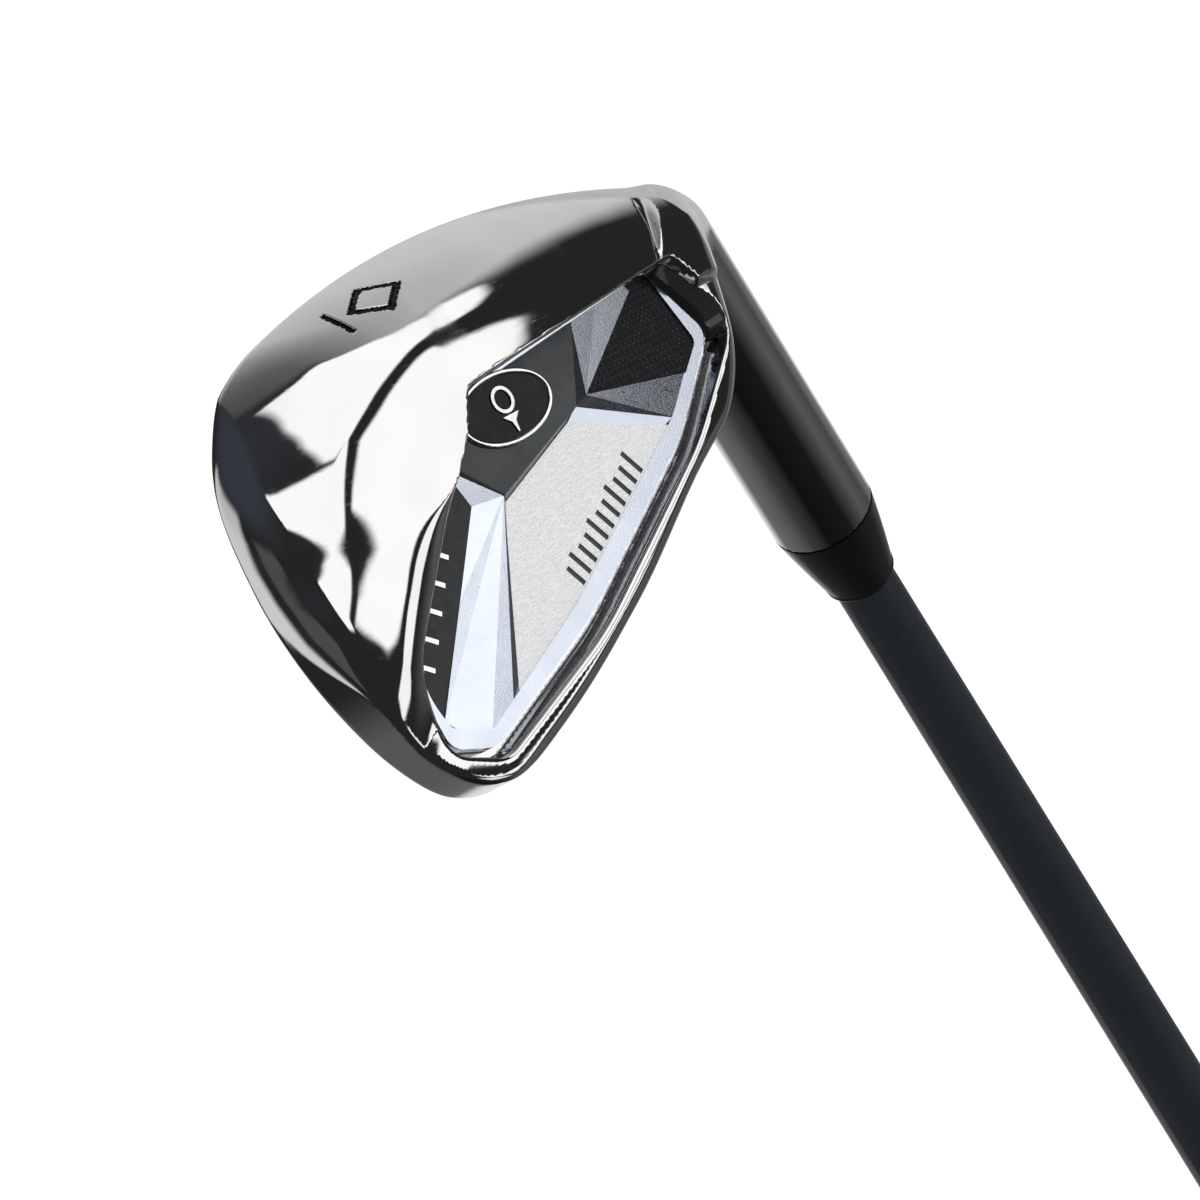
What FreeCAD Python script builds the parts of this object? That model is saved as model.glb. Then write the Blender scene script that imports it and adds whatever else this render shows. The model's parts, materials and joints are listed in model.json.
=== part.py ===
import FreeCAD, Part
import math
import os
from FreeCAD import Matrix, Vector

# A right-handed six iron, standing head up on the butt of its grip.
# Row frame: origin at the centre of the butt, +Z up the shaft axis to the head, +X towards the toe,
# +Y towards the back of the head, so the face looks along -Y.
# Blade frame, for the head and its badge: x from heel to toe, s up the face, w from the face to the back.

# ---------------------------------------------------------------- driving dimensions, mm and degrees
CLUB_LENGTH = 952.5          # butt to the point where the shaft axis meets the ground
LIE = math.radians(61.5)
LOFT = math.radians(29.4)
EDGE_LEAD = 0.6              # leading edge in front of the shaft axis, at ground level

HOSEL_RADIUS = 7.2
HOSEL_TOP = 70.7             # along the shaft axis from the ground point
HOSEL_FOOT = 18.0
HEEL_BLEND_X = 9.0           # where the metal between blade and hosel starts
HEEL_RING_RADIUS = 6.7
HEEL_RING_MIDDLE = 24.0      # where it ends on the hosel, along the shaft axis
HEEL_RING_SLANT = 10.0       # higher by this on the toe side, lower on the heel side
HEEL_RING_LEAN = 4.0         # higher by this behind the hosel, lower in front of it
HEEL_RELIEF_LINE = [(-8.0, 1.0), (5.5, 13.5)]    # x and w of the cut behind the heel
BORE_DEPTH = 32.0
BORE_RADIUS = 4.38
TIP_RADIUS = 4.25
TIP_GAP = 1.0                # between the shaft tip and the bottom of the bore

FERRULE_LENGTH = 12.8
FERRULE_TOP_RADIUS = 4.75
FERRULE_BORE_GAP = 0.02
FERRULE_BOW = (0.9, 0.42)    # radius lost at this share of the length
FERRULE_LIP = 0.9            # height of the rounded lip

SHAFT_TAPER = 0.0044         # radius gained per mm, from the ferrule up
BUTT_RADIUS = 7.6
TIP_WALL = 2.15
BUTT_WALL = 1.3
WEIGHT_RADIUS = 2.05
WEIGHT_LENGTH = 22.0
WEIGHT_FLANGE = 0.9
WEIGHT_FLANGE_RADIUS = 4.15

GRIP_LENGTH = 268.0
TAPE_THICKNESS = 0.2
TAPE_LENGTH = 258.0
CAP_THICKNESS = 4.5
CAP_RADIUS = 13.2
CAP_SPIGOT_RADIUS = 5.9
CAP_SPIGOT_LENGTH = 8.0
CAP_SPIGOT_BORE = 4.4        # the spigot is a cup, so the vent's wall is only the crown
CAP_ROUNDING = 2.0
VENT_RADIUS = 1.5
GRIP_RADII = [(4.5, 13.2), (9.0, 13.3), (30.0, 12.4), (60.0, 12.0), (110.0, 11.6), (180.0, 10.3), (240.0, 9.2),
              (268.0, 8.6)]  # distance from the butt and radius, from the cap to the mouth
GRIP_RING_FIRST = 90.0
GRIP_RING_COUNT = 6
GRIP_RING_PITCH = 30.0
GRIP_RING_DEPTH = 0.5
GRIP_RING_WIDTH = 2.4

FACE_LEVEL = 0.02            # the blank is faced flat here, so that the face is a true plane
CAVITY_FLOOR = 3.6           # face thickness behind the badge
RIM_THICKNESS = 7.0          # blade thickness at the topline
TOE_RIM_THICKNESS = 8.0
MUSCLE_DEPTH = 12.0          # thickness at the lower lip of the cavity
SOLE_CAMBER_RADIUS = 113.0
SOLE_CENTRE = 36.6           # x of the lowest point of the sole
SOLE_MIDDLE = (3.9, 6.5)     # s and w of the middle of the sole at that point
UNDER_EDGE = (1.2, 1.9)      # s and w where the leading edge rolls into the sole
EDGE_HEIGHT = 3.7            # s where the flat of the face ends
MUSCLE_BACK = (0.65, 0.7, 2.5)       # share of the way up to the lip, depth over the lip, loss along the toe
MUSCLE_FOOT = (0.31, -0.9, 1.5)
RIM_SWELL = 0.9              # the rim is thicker by this just above the lip
RIM_ABOVE_LIP = 4.0
LIP_BASE = 17.4              # s of the cavity's lower lip at x = 0
LIP_SLOPE = 0.065
LIP_TURN = (48.0, 20.6)      # x and s where the lip starts to climb along the toe
LIP_CLIMB = 0.95
LIP_CLIMB_LENGTH = 30.0
BLANK_TOP = 76.0             # sections reach past the outline, which trims them
BLANK_DEPTH = 30.0
BLANK_STATIONS = [-10, 4, 14, 24, 34, 44, 50, 56, 62, 68, 74, 80, 86]

# Front view of the blade: x and s from the heel over the topline to the toe and below the sole.
BLADE_OUTLINE = [(-6.0, 4.0), (-5.4, 13.0), (-2.6, 24.0), (1.2, 31.8), (7.4, 37.4), (17.8, 42.7), (31.2, 50.1),
                 (39.5, 54.1), (48.4, 58.0), (56.5, 61.0), (63.1, 62.9), (68.6, 63.4), (74.4, 60.8), (78.8, 54.4),
                 (82.0, 46.2), (83.7, 37.6), (83.9, 29.6), (82.6, 20.6), (79.5, 12.0), (74.0, 0.0), (68.0, -9.0)]

# Heel end of the blade as s over the camber and w, and the turn round the hosel each point goes to.
HEEL_LOW_SIDE = [(5.5, 0.3, 34), (2.4, 2.6, 60), (4.5, 6.5, 86), (7.5, 10.2, 112)]
HEEL_HIGH_SIDE = [(15.0, 11.8, 138), (17.6, 11.0, 162), (24.0, 7.2, 190), (32.0, 6.4, 218), (37.6, 5.6, 248),
                  (38.0, 2.4, 278), (36.0, 0.3, 308), (20.0, 0.3, 352)]

SCORE_COUNT = 13
SCORE_PITCH = 3.6
SCORE_WIDTH = 0.9
SCORE_DEPTH = 0.4
SCORE_FIRST = 9.0
SCORE_HEEL = 12.0
SCORE_TOE = 66.0
SCORE_TOE_GAIN = 1.2         # the first rows each reach this much farther
SCORE_GAIN_ROWS = 4
SCORE_EDGE_START = (6.0, 36.0)       # x and s where the topline starts to shorten the rows
SCORE_EDGE_SLOPE = 0.46

TAPE_PAD = 0.5               # foam tape under the badge
BASE_SKIN = 0.5              # carrier floor under the inlays
BEZEL_HEIGHT = 1.3           # carrier's full height
PLATE_HEIGHT = 0.5
BRIDGE_HEIGHT = 1.5
INSERT_HEIGHT = 0.45
INLAY_GAP = 0.05

EMBLEM_CENTRE = (40.2, 24.2)
EMBLEM_HALF_LENGTH = 7.4
EMBLEM_HALF_WIDTH = 3.9
RING_WIDTH = 0.7
RING_HEIGHT = 0.45
RING_ROUNDING = 0.22
EMBLEM_SEAT = 0.4            # depth of the emblem's pocket in the bridge
DISC_HEIGHT = 0.3
MARK_HEIGHT = 0.22
BALL_RADIUS = 1.75
BALL_LINE = 0.45

HASH_COUNT = 11              # engraved marks on the plate
HASH_START = (24.0, 38.6)
HASH_PITCH = 1.92
HASH_SLOPE = 26.5            # degrees, along the topline
HASH_WIDTH = 0.75
HASH_HEIGHT = 3.0
HASH_LONG_HEIGHT = 3.6       # every third one
HASH_DEPTH = 0.2
DASH_COUNT = 5               # raised marks on the toe insert
DASH_START = (58.6, 36.6)
DASH_STEP = (2.6, 2.75)
DASH_SIZE = (2.0, 0.6)
DASH_TURN = -38              # degrees
DASH_RAISE = 0.15

# Levels of the badge, measured from the face.
TAPE_TOP = CAVITY_FLOOR + TAPE_PAD
INLAY_FLOOR = TAPE_TOP + BASE_SKIN
BEZEL_TOP = TAPE_TOP + BEZEL_HEIGHT
BRIDGE_TOP = INLAY_FLOOR + BRIDGE_HEIGHT

# Cavity wall at the floor: x, s and corner radius, from the lower heel corner round by the topline.
CAVITY_TOP_SIDE = [(1.6, 27.4, 3.2), (15.0, 38.0, 40.0), (43.0, 52.2, 60.0), (66.8, 60.4, 5.0), (74.2, 57.6, 3.0)]
CAVITY_SOLE_SIDE = [(73.2, 46.8, 10.0), (57.5, 30.4, 6.0), (54.0, 28.8, 3.0), (48.8, 20.4, 2.5), (8.6, 16.6, 1.5)]
BADGE_TOP_SIDE = [(3.6, 27.2, 2.2), (15.4, 36.9, 40.0), (43.4, 51.1, 60.0), (66.6, 59.2, 4.0), (72.9, 56.9, 2.4)]
INLAY_TOP_SIDE = [(5.9, 27.6, 1.4), (15.6, 34.6, 30.0), (44.2, 48.9, 60.0), (66.2, 57.3, 2.6), (71.4, 54.6, 1.2)]

# Corners where the inlays of the badge meet.
BRIDGE_LOW_HEEL = (22.0, 16.0)
BRIDGE_HEEL = (29.6, 28.0)
BRIDGE_TOE = (46.8, 33.4)
BRIDGE_LOW_TOE = (53.0, 26.6)
PLATE_HEEL = (15.8, 35.58)
PLATE_NEAR_HEEL = (31.2, 29.2)
PLATE_NEAR_TOE = (46.4, 34.2)
PLATE_TOE = (60.6, 55.6)
HEEL_POINT = (26.8, 27.3)
HEEL_LOW = (11.6, 18.4)
HEEL_HIGH = (9.6, 30.6)
TOE_NEAR = (51.6, 32.8)
TOE_BEND = (60.4, 42.0)
TOE_FAR = (71.8, 53.6)
TOE_LOW = (52.6, 28.6)
SHELF_CORNER = (14.96, 35.08)
BLADE_FACET_TIP = (67.5, 59.0)
BLADE_FACET_HEEL = (62.6, 58.0)
BEVEL_TIP = (61.0, 58.0)
UNDER_HEEL = (14.0, 14.0)    # this and the next ones lie outside the cavity, where the outline trims the inlays
PLATE_BEYOND = [(62.0, 64.0), (10.0, 44.0)]
HEEL_BEYOND = [(0.0, 14.0), (0.0, 31.0)]
TOE_BEYOND = [(52.0, 18.0), (80.0, 18.0), (80.0, 53.6)]
BRIDGE_BEYOND = (54.0, 16.0)

# ---------------------------------------------------------------- frames


def blade_matrix():
    """Rigid move from the blade frame to the row frame."""
    x_axis = Vector(math.sin(LIE), 0, math.cos(LIE))
    s_axis = Vector(math.cos(LOFT) * math.cos(LIE), math.sin(LOFT), -math.cos(LOFT) * math.sin(LIE))
    w_axis = Vector(-math.sin(LOFT) * math.cos(LIE), math.cos(LOFT), math.sin(LOFT) * math.sin(LIE))
    origin = Vector(0, -EDGE_LEAD, CLUB_LENGTH)
    return Matrix(x_axis.x, s_axis.x, w_axis.x, origin.x,
                  x_axis.y, s_axis.y, w_axis.y, origin.y,
                  x_axis.z, s_axis.z, w_axis.z, origin.z,
                  0, 0, 0, 1)


def in_row(shape):
    """A copy of a blade-frame shape, placed in the row frame."""
    moved = shape.copy()
    moved.transformShape(blade_matrix())
    return moved


def side_point(x, y, z):
    """Blade-frame point from heel-toe x, forward y and height z over the ground."""
    back = EDGE_LEAD - y
    s = back * math.sin(LOFT) + z * math.cos(LOFT)
    w = back * math.cos(LOFT) - z * math.sin(LOFT)
    return Vector(x, s, w)


def hosel_point(radius, turn, distance):
    """Blade-frame point round the shaft axis; turn 0 is the face side, 90 degrees the heel side."""
    angle = math.radians(turn)
    forward = radius * math.cos(angle)
    heelward = radius * math.sin(angle)
    x = -distance * math.cos(LIE) - heelward * math.sin(LIE)
    z = distance * math.sin(LIE) - heelward * math.cos(LIE)
    return side_point(x, forward, z)


# ---------------------------------------------------------------- small builders


def closed_curve(points):
    curve = Part.BSplineCurve()
    curve.interpolate(points, PeriodicFlag=True)
    return Part.Wire([curve.toShape()])


def rounded_outline(corners, level):
    """Closed wire of lines and tangent arcs through (x, s, radius) corners at one w."""
    count = len(corners)
    starts = []
    ends = []
    middles = []
    for i, (x, s, radius) in enumerate(corners):
        corner = Vector(x, s, level)
        before = Vector(corners[i - 1][0], corners[i - 1][1], level) - corner
        after = Vector(corners[(i + 1) % count][0], corners[(i + 1) % count][1], level) - corner
        before.normalize()
        after.normalize()
        half = before.getAngle(after) / 2
        reach = radius / math.tan(half)
        bisector = before + after
        bisector.normalize()
        starts.append(corner + before * reach)
        ends.append(corner + after * reach)
        middles.append(corner + bisector * (radius / math.sin(half) - radius))
    edges = []
    for i in range(count):
        edges.append(Part.Arc(starts[i], middles[i], ends[i]).toShape())
        edges.append(Part.makeLine(ends[i], starts[(i + 1) % count]))
    return Part.Wire(edges)


def outline_prism(corners, low, high):
    return Part.Face(rounded_outline(corners, low)).extrude(Vector(0, 0, high - low))


def polygon_prism(points, low, high):
    vertices = [Vector(x, s, low) for x, s in points]
    wire = Part.makePolygon(vertices + vertices[:1])
    return Part.Face(wire).extrude(Vector(0, 0, high - low))


def facet_block(points, low):
    """Polyhedron over the polygon (x, s, top) from level low, its top fanned from the first point."""
    bottom = [Vector(x, s, low) for x, s, top in points]
    upper = [Vector(x, s, top) for x, s, top in points]
    count = len(points)
    loops = [bottom]
    for i in range(count):
        j = (i + 1) % count
        loops.append([bottom[i], bottom[j], upper[j], upper[i]])
    for i in range(1, count - 1):
        loops.append([upper[0], upper[i], upper[i + 1]])
    faces = [Part.Face(Part.makePolygon(loop + loop[:1])) for loop in loops]
    solid = Part.Solid(Part.Shell(faces))
    if solid.Volume < 0:
        solid.reverse()
    return solid


def oval_prism(centre, half_length, half_width, low, high):
    ellipse = Part.Ellipse(Vector(centre[0], centre[1], low), half_length, half_width)
    return Part.Face(Part.Wire([ellipse.toShape()])).extrude(Vector(0, 0, high - low))


def turned(profile):
    """Solid of revolution about the row's Z axis from (radius, z) corners."""
    points = [Vector(radius, 0, z) for radius, z in profile]
    face = Part.Face(Part.makePolygon(points + points[:1]))
    return face.revolve(Vector(0, 0, 0), Vector(0, 0, 1), 360)


def toward_head(distance):
    """Row z of a distance from the ground point along the shaft axis."""
    return CLUB_LENGTH - distance


# ---------------------------------------------------------------- head


def camber(x):
    return (x - SOLE_CENTRE) ** 2 / (2 * SOLE_CAMBER_RADIUS)


def lip(x):
    """s and w of the cavity's lower lip, which climbs along the toe."""
    turn_x, turn_s = LIP_TURN
    if x <= turn_x:
        return LIP_BASE + LIP_SLOPE * max(x, 8), MUSCLE_DEPTH
    climb = min(x - turn_x, LIP_CLIMB_LENGTH)
    s = turn_s + LIP_CLIMB * climb
    w = MUSCLE_DEPTH - (MUSCLE_DEPTH - TOE_RIM_THICKNESS) * climb / LIP_CLIMB_LENGTH
    return s, w


def blade_section(x):
    """Closed section of the blade at one x: face, top, rim, lip, back of the muscle, sole and leading edge."""
    rise = camber(x)
    lip_s, lip_w = lip(x)
    thinning = (MUSCLE_DEPTH - lip_w) / (MUSCLE_DEPTH - TOE_RIM_THICKNESS)
    sole_s = SOLE_MIDDLE[0] + rise
    edge_top = Vector(x, EDGE_HEIGHT + rise, 0)
    face_top = Vector(x, BLANK_TOP, 0)
    rim_top = Vector(x, BLANK_TOP, RIM_THICKNESS)
    rim_low = Vector(x, lip_s + RIM_ABOVE_LIP, RIM_THICKNESS + RIM_SWELL)
    lip_point = Vector(x, lip_s, lip_w)
    under_edge = Vector(x, UNDER_EDGE[0] + rise, UNDER_EDGE[1])
    points = [lip_point]
    for share, depth, loss in (MUSCLE_BACK, MUSCLE_FOOT):
        points.append(Vector(x, sole_s + share * (lip_s - sole_s), MUSCLE_DEPTH + depth - loss * thinning))
    points += [Vector(x, sole_s, SOLE_MIDDLE[1]), under_edge, edge_top]
    curve = Part.BSplineCurve()
    curve.interpolate(points)
    edges = [
        Part.makeLine(edge_top, face_top),
        Part.makeLine(face_top, rim_top),
        Part.makeLine(rim_top, rim_low),
        Part.makeLine(rim_low, lip_point),
        curve.toShape(),
    ]
    return Part.Wire(edges)


def blade_outline():
    """Prism over the front view of the blade, open below, where the sole surface ends it."""
    curve = Part.BSplineCurve()
    curve.interpolate([Vector(x, s, FACE_LEVEL) for x, s in BLADE_OUTLINE])
    start = curve.StartPoint
    end = curve.EndPoint
    low_heel = Vector(start.x, end.y, FACE_LEVEL)
    edges = [curve.toShape(), Part.makeLine(end, low_heel), Part.makeLine(low_heel, start)]
    return Part.Face(Part.Wire(edges)).extrude(Vector(0, 0, BLANK_DEPTH))


def heel_relief():
    """Wedge taken off the back of the heel, where the sole narrows towards the hosel."""
    bottom = BLADE_OUTLINE[-1][1] - 3
    (near_x, near_w), (far_x, far_w) = HEEL_RELIEF_LINE
    corners = [Vector(near_x, bottom, near_w), Vector(far_x, bottom, far_w), Vector(far_x, bottom, BLANK_DEPTH),
               Vector(near_x, bottom, BLANK_DEPTH)]
    wire = Part.makePolygon(corners + corners[:1])
    return Part.Face(wire).extrude(Vector(0, BLANK_TOP - bottom, 0))


def heel_blend():
    """Metal between the heel of the blade and a slanting ring round the hosel."""
    rise = camber(HEEL_BLEND_X)
    pairs = [(s + rise, w, turn) for s, w, turn in HEEL_LOW_SIDE] + HEEL_HIGH_SIDE
    inner = []
    outer = []
    for s, w, turn in pairs:
        angle = math.radians(turn)
        distance = HEEL_RING_MIDDLE - HEEL_RING_SLANT * math.sin(angle) - HEEL_RING_LEAN * math.cos(angle)
        inner.append(Vector(HEEL_BLEND_X, s, w))
        outer.append(hosel_point(HEEL_RING_RADIUS, turn, distance))
    return Part.makeLoft([closed_curve(inner), closed_curve(outer)], True, True)


def hosel():
    """Turned neck with a rounded foot, in the row frame."""
    foot = Part.makeSphere(HOSEL_RADIUS, Vector(0, 0, toward_head(HOSEL_FOOT)))
    tube = Part.makeCylinder(HOSEL_RADIUS, HOSEL_TOP - HOSEL_FOOT, Vector(0, 0, toward_head(HOSEL_TOP)))
    return tube.fuse(foot)


def shaft_bore():
    return Part.makeCylinder(BORE_RADIUS, BORE_DEPTH + 1, Vector(0, 0, toward_head(HOSEL_TOP) - 1))


def score_lines():
    """Straight grooves across the face; each next one up starts a little nearer the heel."""
    grooves = []
    for i in range(SCORE_COUNT):
        s = SCORE_FIRST + i * SCORE_PITCH
        toe_end = SCORE_TOE + min(i, SCORE_GAIN_ROWS) * SCORE_TOE_GAIN
        heel_end = max(SCORE_HEEL, SCORE_EDGE_START[0] + (s - SCORE_EDGE_START[1]) / SCORE_EDGE_SLOPE)
        corner = Vector(heel_end, s - SCORE_WIDTH / 2, -1)
        grooves.append(Part.makeBox(toe_end - heel_end, SCORE_WIDTH, 1 + SCORE_DEPTH, corner))
    return grooves


def head_body():
    blade = Part.makeLoft([blade_section(x) for x in BLANK_STATIONS], True, False)
    blade = blade.common(blade_outline()).cut(heel_relief())
    body = in_row(blade).fuse([hosel(), in_row(heel_blend())])
    cavity = outline_prism(CAVITY_TOP_SIDE + CAVITY_SOLE_SIDE, CAVITY_FLOOR, 40)
    cuts = [in_row(cavity), shaft_bore()]
    cuts += [in_row(groove) for groove in score_lines()]
    return body.cut(cuts).removeSplitter()


# ---------------------------------------------------------------- badge


def inward(corners, gap):
    """The sole-side corners of the cavity moved a little way off the wall, towards the topline."""
    return [(x - gap, s + gap, radius) for x, s, radius in corners]


def badge_tape():
    return outline_prism(BADGE_TOP_SIDE + inward(CAVITY_SOLE_SIDE, 0.4), CAVITY_FLOOR, TAPE_TOP)


def inlay_space(low, high):
    return outline_prism(INLAY_TOP_SIDE + inward(CAVITY_SOLE_SIDE, 0.5), low, high)


def badge_facets():
    """Bright raised facets of the carrier beside the bridge."""
    ridge = BRIDGE_TOP - 0.3
    plate_top = INLAY_FLOOR + PLATE_HEIGHT
    heel_facet = facet_block([
        HEEL_POINT + (BEZEL_TOP + 0.2,), HEEL_LOW + (BEZEL_TOP - 0.2,), UNDER_HEEL + (BEZEL_TOP - 0.2,),
        BRIDGE_LOW_HEEL + (BEZEL_TOP,), BRIDGE_HEEL + (ridge,)], INLAY_FLOOR)
    heel_shelf = facet_block([
        HEEL_POINT + (BEZEL_TOP + 0.2,), BRIDGE_HEEL + (ridge,), SHELF_CORNER + (BEZEL_TOP,),
        HEEL_HIGH + (BEZEL_TOP - 0.2,)], INLAY_FLOOR)
    heel_wedge = facet_block([
        BRIDGE_HEEL + (ridge,), PLATE_NEAR_HEEL + (plate_top,), PLATE_HEEL + (plate_top,),
        SHELF_CORNER + (BEZEL_TOP,)], INLAY_FLOOR)
    toe_facet = facet_block([
        BRIDGE_TOE + (ridge,), BRIDGE_LOW_TOE + (BEZEL_TOP - 0.2,), TOE_NEAR + (BEZEL_TOP - 0.3,),
        TOE_BEND + (BEZEL_TOP - 0.3,), TOE_FAR + (BEZEL_TOP - 0.1,), BLADE_FACET_TIP + (BEZEL_TOP,),
        BLADE_FACET_HEEL + (BEZEL_TOP,)], INLAY_FLOOR)
    toe_bevel = facet_block([
        BRIDGE_TOE + (ridge,), BLADE_FACET_HEEL + (BEZEL_TOP,), BEVEL_TIP + (BEZEL_TOP - 0.4,),
        PLATE_TOE + (plate_top,), PLATE_NEAR_TOE + (plate_top,)], INLAY_FLOOR)
    return [heel_facet, heel_shelf, heel_wedge, toe_facet, toe_bevel]


def badge_base():
    tray = outline_prism(BADGE_TOP_SIDE + inward(CAVITY_SOLE_SIDE, 0.2), TAPE_TOP, BEZEL_TOP)
    tray = tray.cut(inlay_space(INLAY_FLOOR, BEZEL_TOP + 1))
    room = inlay_space(INLAY_FLOOR - 0.1, BRIDGE_TOP + 1)
    facets = [facet.common(room) for facet in badge_facets()]
    return tray.fuse(facets).removeSplitter()


def fitted(points, height):
    """An inlay cut from a polygon, with the assembly gap all round it."""
    blank = polygon_prism(points, INLAY_FLOOR, INLAY_FLOOR + height)
    return blank.common(inlay_space(INLAY_FLOOR, INLAY_FLOOR + height))


def heel_insert(base):
    blank = fitted([HEEL_POINT, HEEL_LOW, UNDER_HEEL] + HEEL_BEYOND + [HEEL_HIGH], INSERT_HEIGHT)
    return blank.cut(base)


def toe_insert(base):
    """Dark inlay with a row of raised marks."""
    blank = fitted([TOE_NEAR, TOE_LOW] + TOE_BEYOND + [TOE_FAR, TOE_BEND], INSERT_HEIGHT)
    top = INLAY_FLOOR + INSERT_HEIGHT
    root = 0.02
    marks = []
    for i in range(DASH_COUNT):
        x = DASH_START[0] + i * DASH_STEP[0]
        s = DASH_START[1] + i * DASH_STEP[1]
        bar = Part.makeBox(DASH_SIZE[0], DASH_SIZE[1], DASH_RAISE + root, Vector(x, s, top - root))
        bar.rotate(Vector(x, s, 0), Vector(0, 0, 1), DASH_TURN)
        marks.append(bar)
    return blank.cut(base).fuse(marks)


def plate_grooves():
    """Row of engraved hash marks that leans along the topline."""
    slope = math.radians(HASH_SLOPE)
    floor = INLAY_FLOOR + PLATE_HEIGHT - HASH_DEPTH
    grooves = []
    for i in range(HASH_COUNT):
        x = HASH_START[0] + i * HASH_PITCH * math.cos(slope)
        s = HASH_START[1] + i * HASH_PITCH * math.sin(slope)
        height = HASH_HEIGHT if i % 3 else HASH_LONG_HEIGHT
        groove = Part.makeBox(HASH_WIDTH, height, HASH_DEPTH + 1, Vector(x, s - height, floor))
        groove.rotate(Vector(x, s, 0), Vector(0, 0, 1), HASH_SLOPE)
        grooves.append(groove)
    return grooves


def badge_plate(base):
    blank = fitted([PLATE_HEEL, PLATE_NEAR_HEEL, PLATE_NEAR_TOE, PLATE_TOE] + PLATE_BEYOND, PLATE_HEIGHT)
    return blank.cut(base).cut(plate_grooves())


def badge_bridge(base):
    """Raised centre, its edge towards the plate bevelled down."""
    block = facet_block([
        BRIDGE_HEEL + (BRIDGE_TOP,), BRIDGE_LOW_HEEL + (BRIDGE_TOP,), BRIDGE_BEYOND + (BRIDGE_TOP,),
        BRIDGE_LOW_TOE + (BRIDGE_TOP,), BRIDGE_TOE + (BRIDGE_TOP,)], INLAY_FLOOR)
    bevel = facet_block([
        BRIDGE_HEEL + (BRIDGE_TOP,), BRIDGE_TOE + (BRIDGE_TOP,),
        (PLATE_NEAR_TOE[0] - INLAY_GAP, PLATE_NEAR_TOE[1] - 2 * INLAY_GAP, INLAY_FLOOR + PLATE_HEIGHT - 0.1),
        (PLATE_NEAR_HEEL[0] + INLAY_GAP, PLATE_NEAR_HEEL[1] - 2 * INLAY_GAP, INLAY_FLOOR + PLATE_HEIGHT - 0.1)],
        INLAY_FLOOR)
    body = block.fuse(bevel).common(inlay_space(INLAY_FLOOR, BRIDGE_TOP + 1)).cut(base)
    seat = oval_prism(EMBLEM_CENTRE, EMBLEM_HALF_LENGTH + RING_WIDTH, EMBLEM_HALF_WIDTH + RING_WIDTH,
                      BRIDGE_TOP - EMBLEM_SEAT, BRIDGE_TOP + 1)
    return body.cut(seat).removeSplitter()


def emblem_ring():
    low = BRIDGE_TOP - EMBLEM_SEAT
    high = BRIDGE_TOP + RING_HEIGHT
    outer = oval_prism(EMBLEM_CENTRE, EMBLEM_HALF_LENGTH + RING_WIDTH - INLAY_GAP,
                       EMBLEM_HALF_WIDTH + RING_WIDTH - INLAY_GAP, low, high)
    ring = outer.cut(oval_prism(EMBLEM_CENTRE, EMBLEM_HALF_LENGTH, EMBLEM_HALF_WIDTH, low - 1, high + 1))
    top_edges = [edge for edge in ring.Edges if abs(edge.CenterOfMass.z - high) < 1e-6]
    return ring.makeFillet(RING_ROUNDING, top_edges)


def emblem_disc():
    low = BRIDGE_TOP - EMBLEM_SEAT
    return oval_prism(EMBLEM_CENTRE, EMBLEM_HALF_LENGTH - INLAY_GAP, EMBLEM_HALF_WIDTH - INLAY_GAP,
                      low, BRIDGE_TOP + DISC_HEIGHT)


def emblem_mark():
    """Raised outline of a ball resting on a tee."""
    low = BRIDGE_TOP + DISC_HEIGHT
    high = low + MARK_HEIGHT
    x, s = EMBLEM_CENTRE
    middle = Vector(x, s - 1.0, low)
    ball = Part.makeCylinder(BALL_RADIUS, MARK_HEIGHT, middle)
    ball = ball.cut(Part.makeCylinder(BALL_RADIUS - BALL_LINE, MARK_HEIGHT, middle))
    tee_neck = 0.35
    cup_outline = [(x - 1.4, s + 1.0), (x + 1.4, s + 1.0), (x + tee_neck, s + 1.9), (x - tee_neck, s + 1.9)]
    stem_outline = [(x - tee_neck, s + 1.8), (x + tee_neck, s + 1.8), (x + 0.1, s + 3.3), (x - 0.1, s + 3.3)]
    cup = polygon_prism(cup_outline, low, high)
    stem = polygon_prism(stem_outline, low, high)
    return ball.fuse([cup, stem]).removeSplitter()


# ---------------------------------------------------------------- shaft, ferrule and grip


def shaft_radius(z):
    """Outer radius of the shaft at a row z: parallel tip, taper, parallel butt."""
    taper_start = toward_head(HOSEL_TOP + FERRULE_LENGTH)
    return min(BUTT_RADIUS, TIP_RADIUS + max(0.0, taper_start - z) * SHAFT_TAPER)


def taper_end():
    return toward_head(HOSEL_TOP + FERRULE_LENGTH) - (BUTT_RADIUS - TIP_RADIUS) / SHAFT_TAPER


def tip_z():
    return toward_head(HOSEL_TOP) + BORE_DEPTH - TIP_GAP


def shaft():
    butt = CAP_THICKNESS
    collar = toward_head(HOSEL_TOP + FERRULE_LENGTH)
    outside = [(BUTT_RADIUS, butt), (BUTT_RADIUS, taper_end()), (TIP_RADIUS, collar), (TIP_RADIUS, tip_z())]
    inside = [(TIP_RADIUS - TIP_WALL, tip_z()), (TIP_RADIUS - TIP_WALL, collar),
              (BUTT_RADIUS - BUTT_WALL, taper_end()), (BUTT_RADIUS - BUTT_WALL, butt)]
    return turned(outside + inside)


def hosel_epoxy():
    low = toward_head(HOSEL_TOP)
    return turned([(TIP_RADIUS, low), (BORE_RADIUS, low), (BORE_RADIUS, tip_z()), (TIP_RADIUS, tip_z())])


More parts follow.
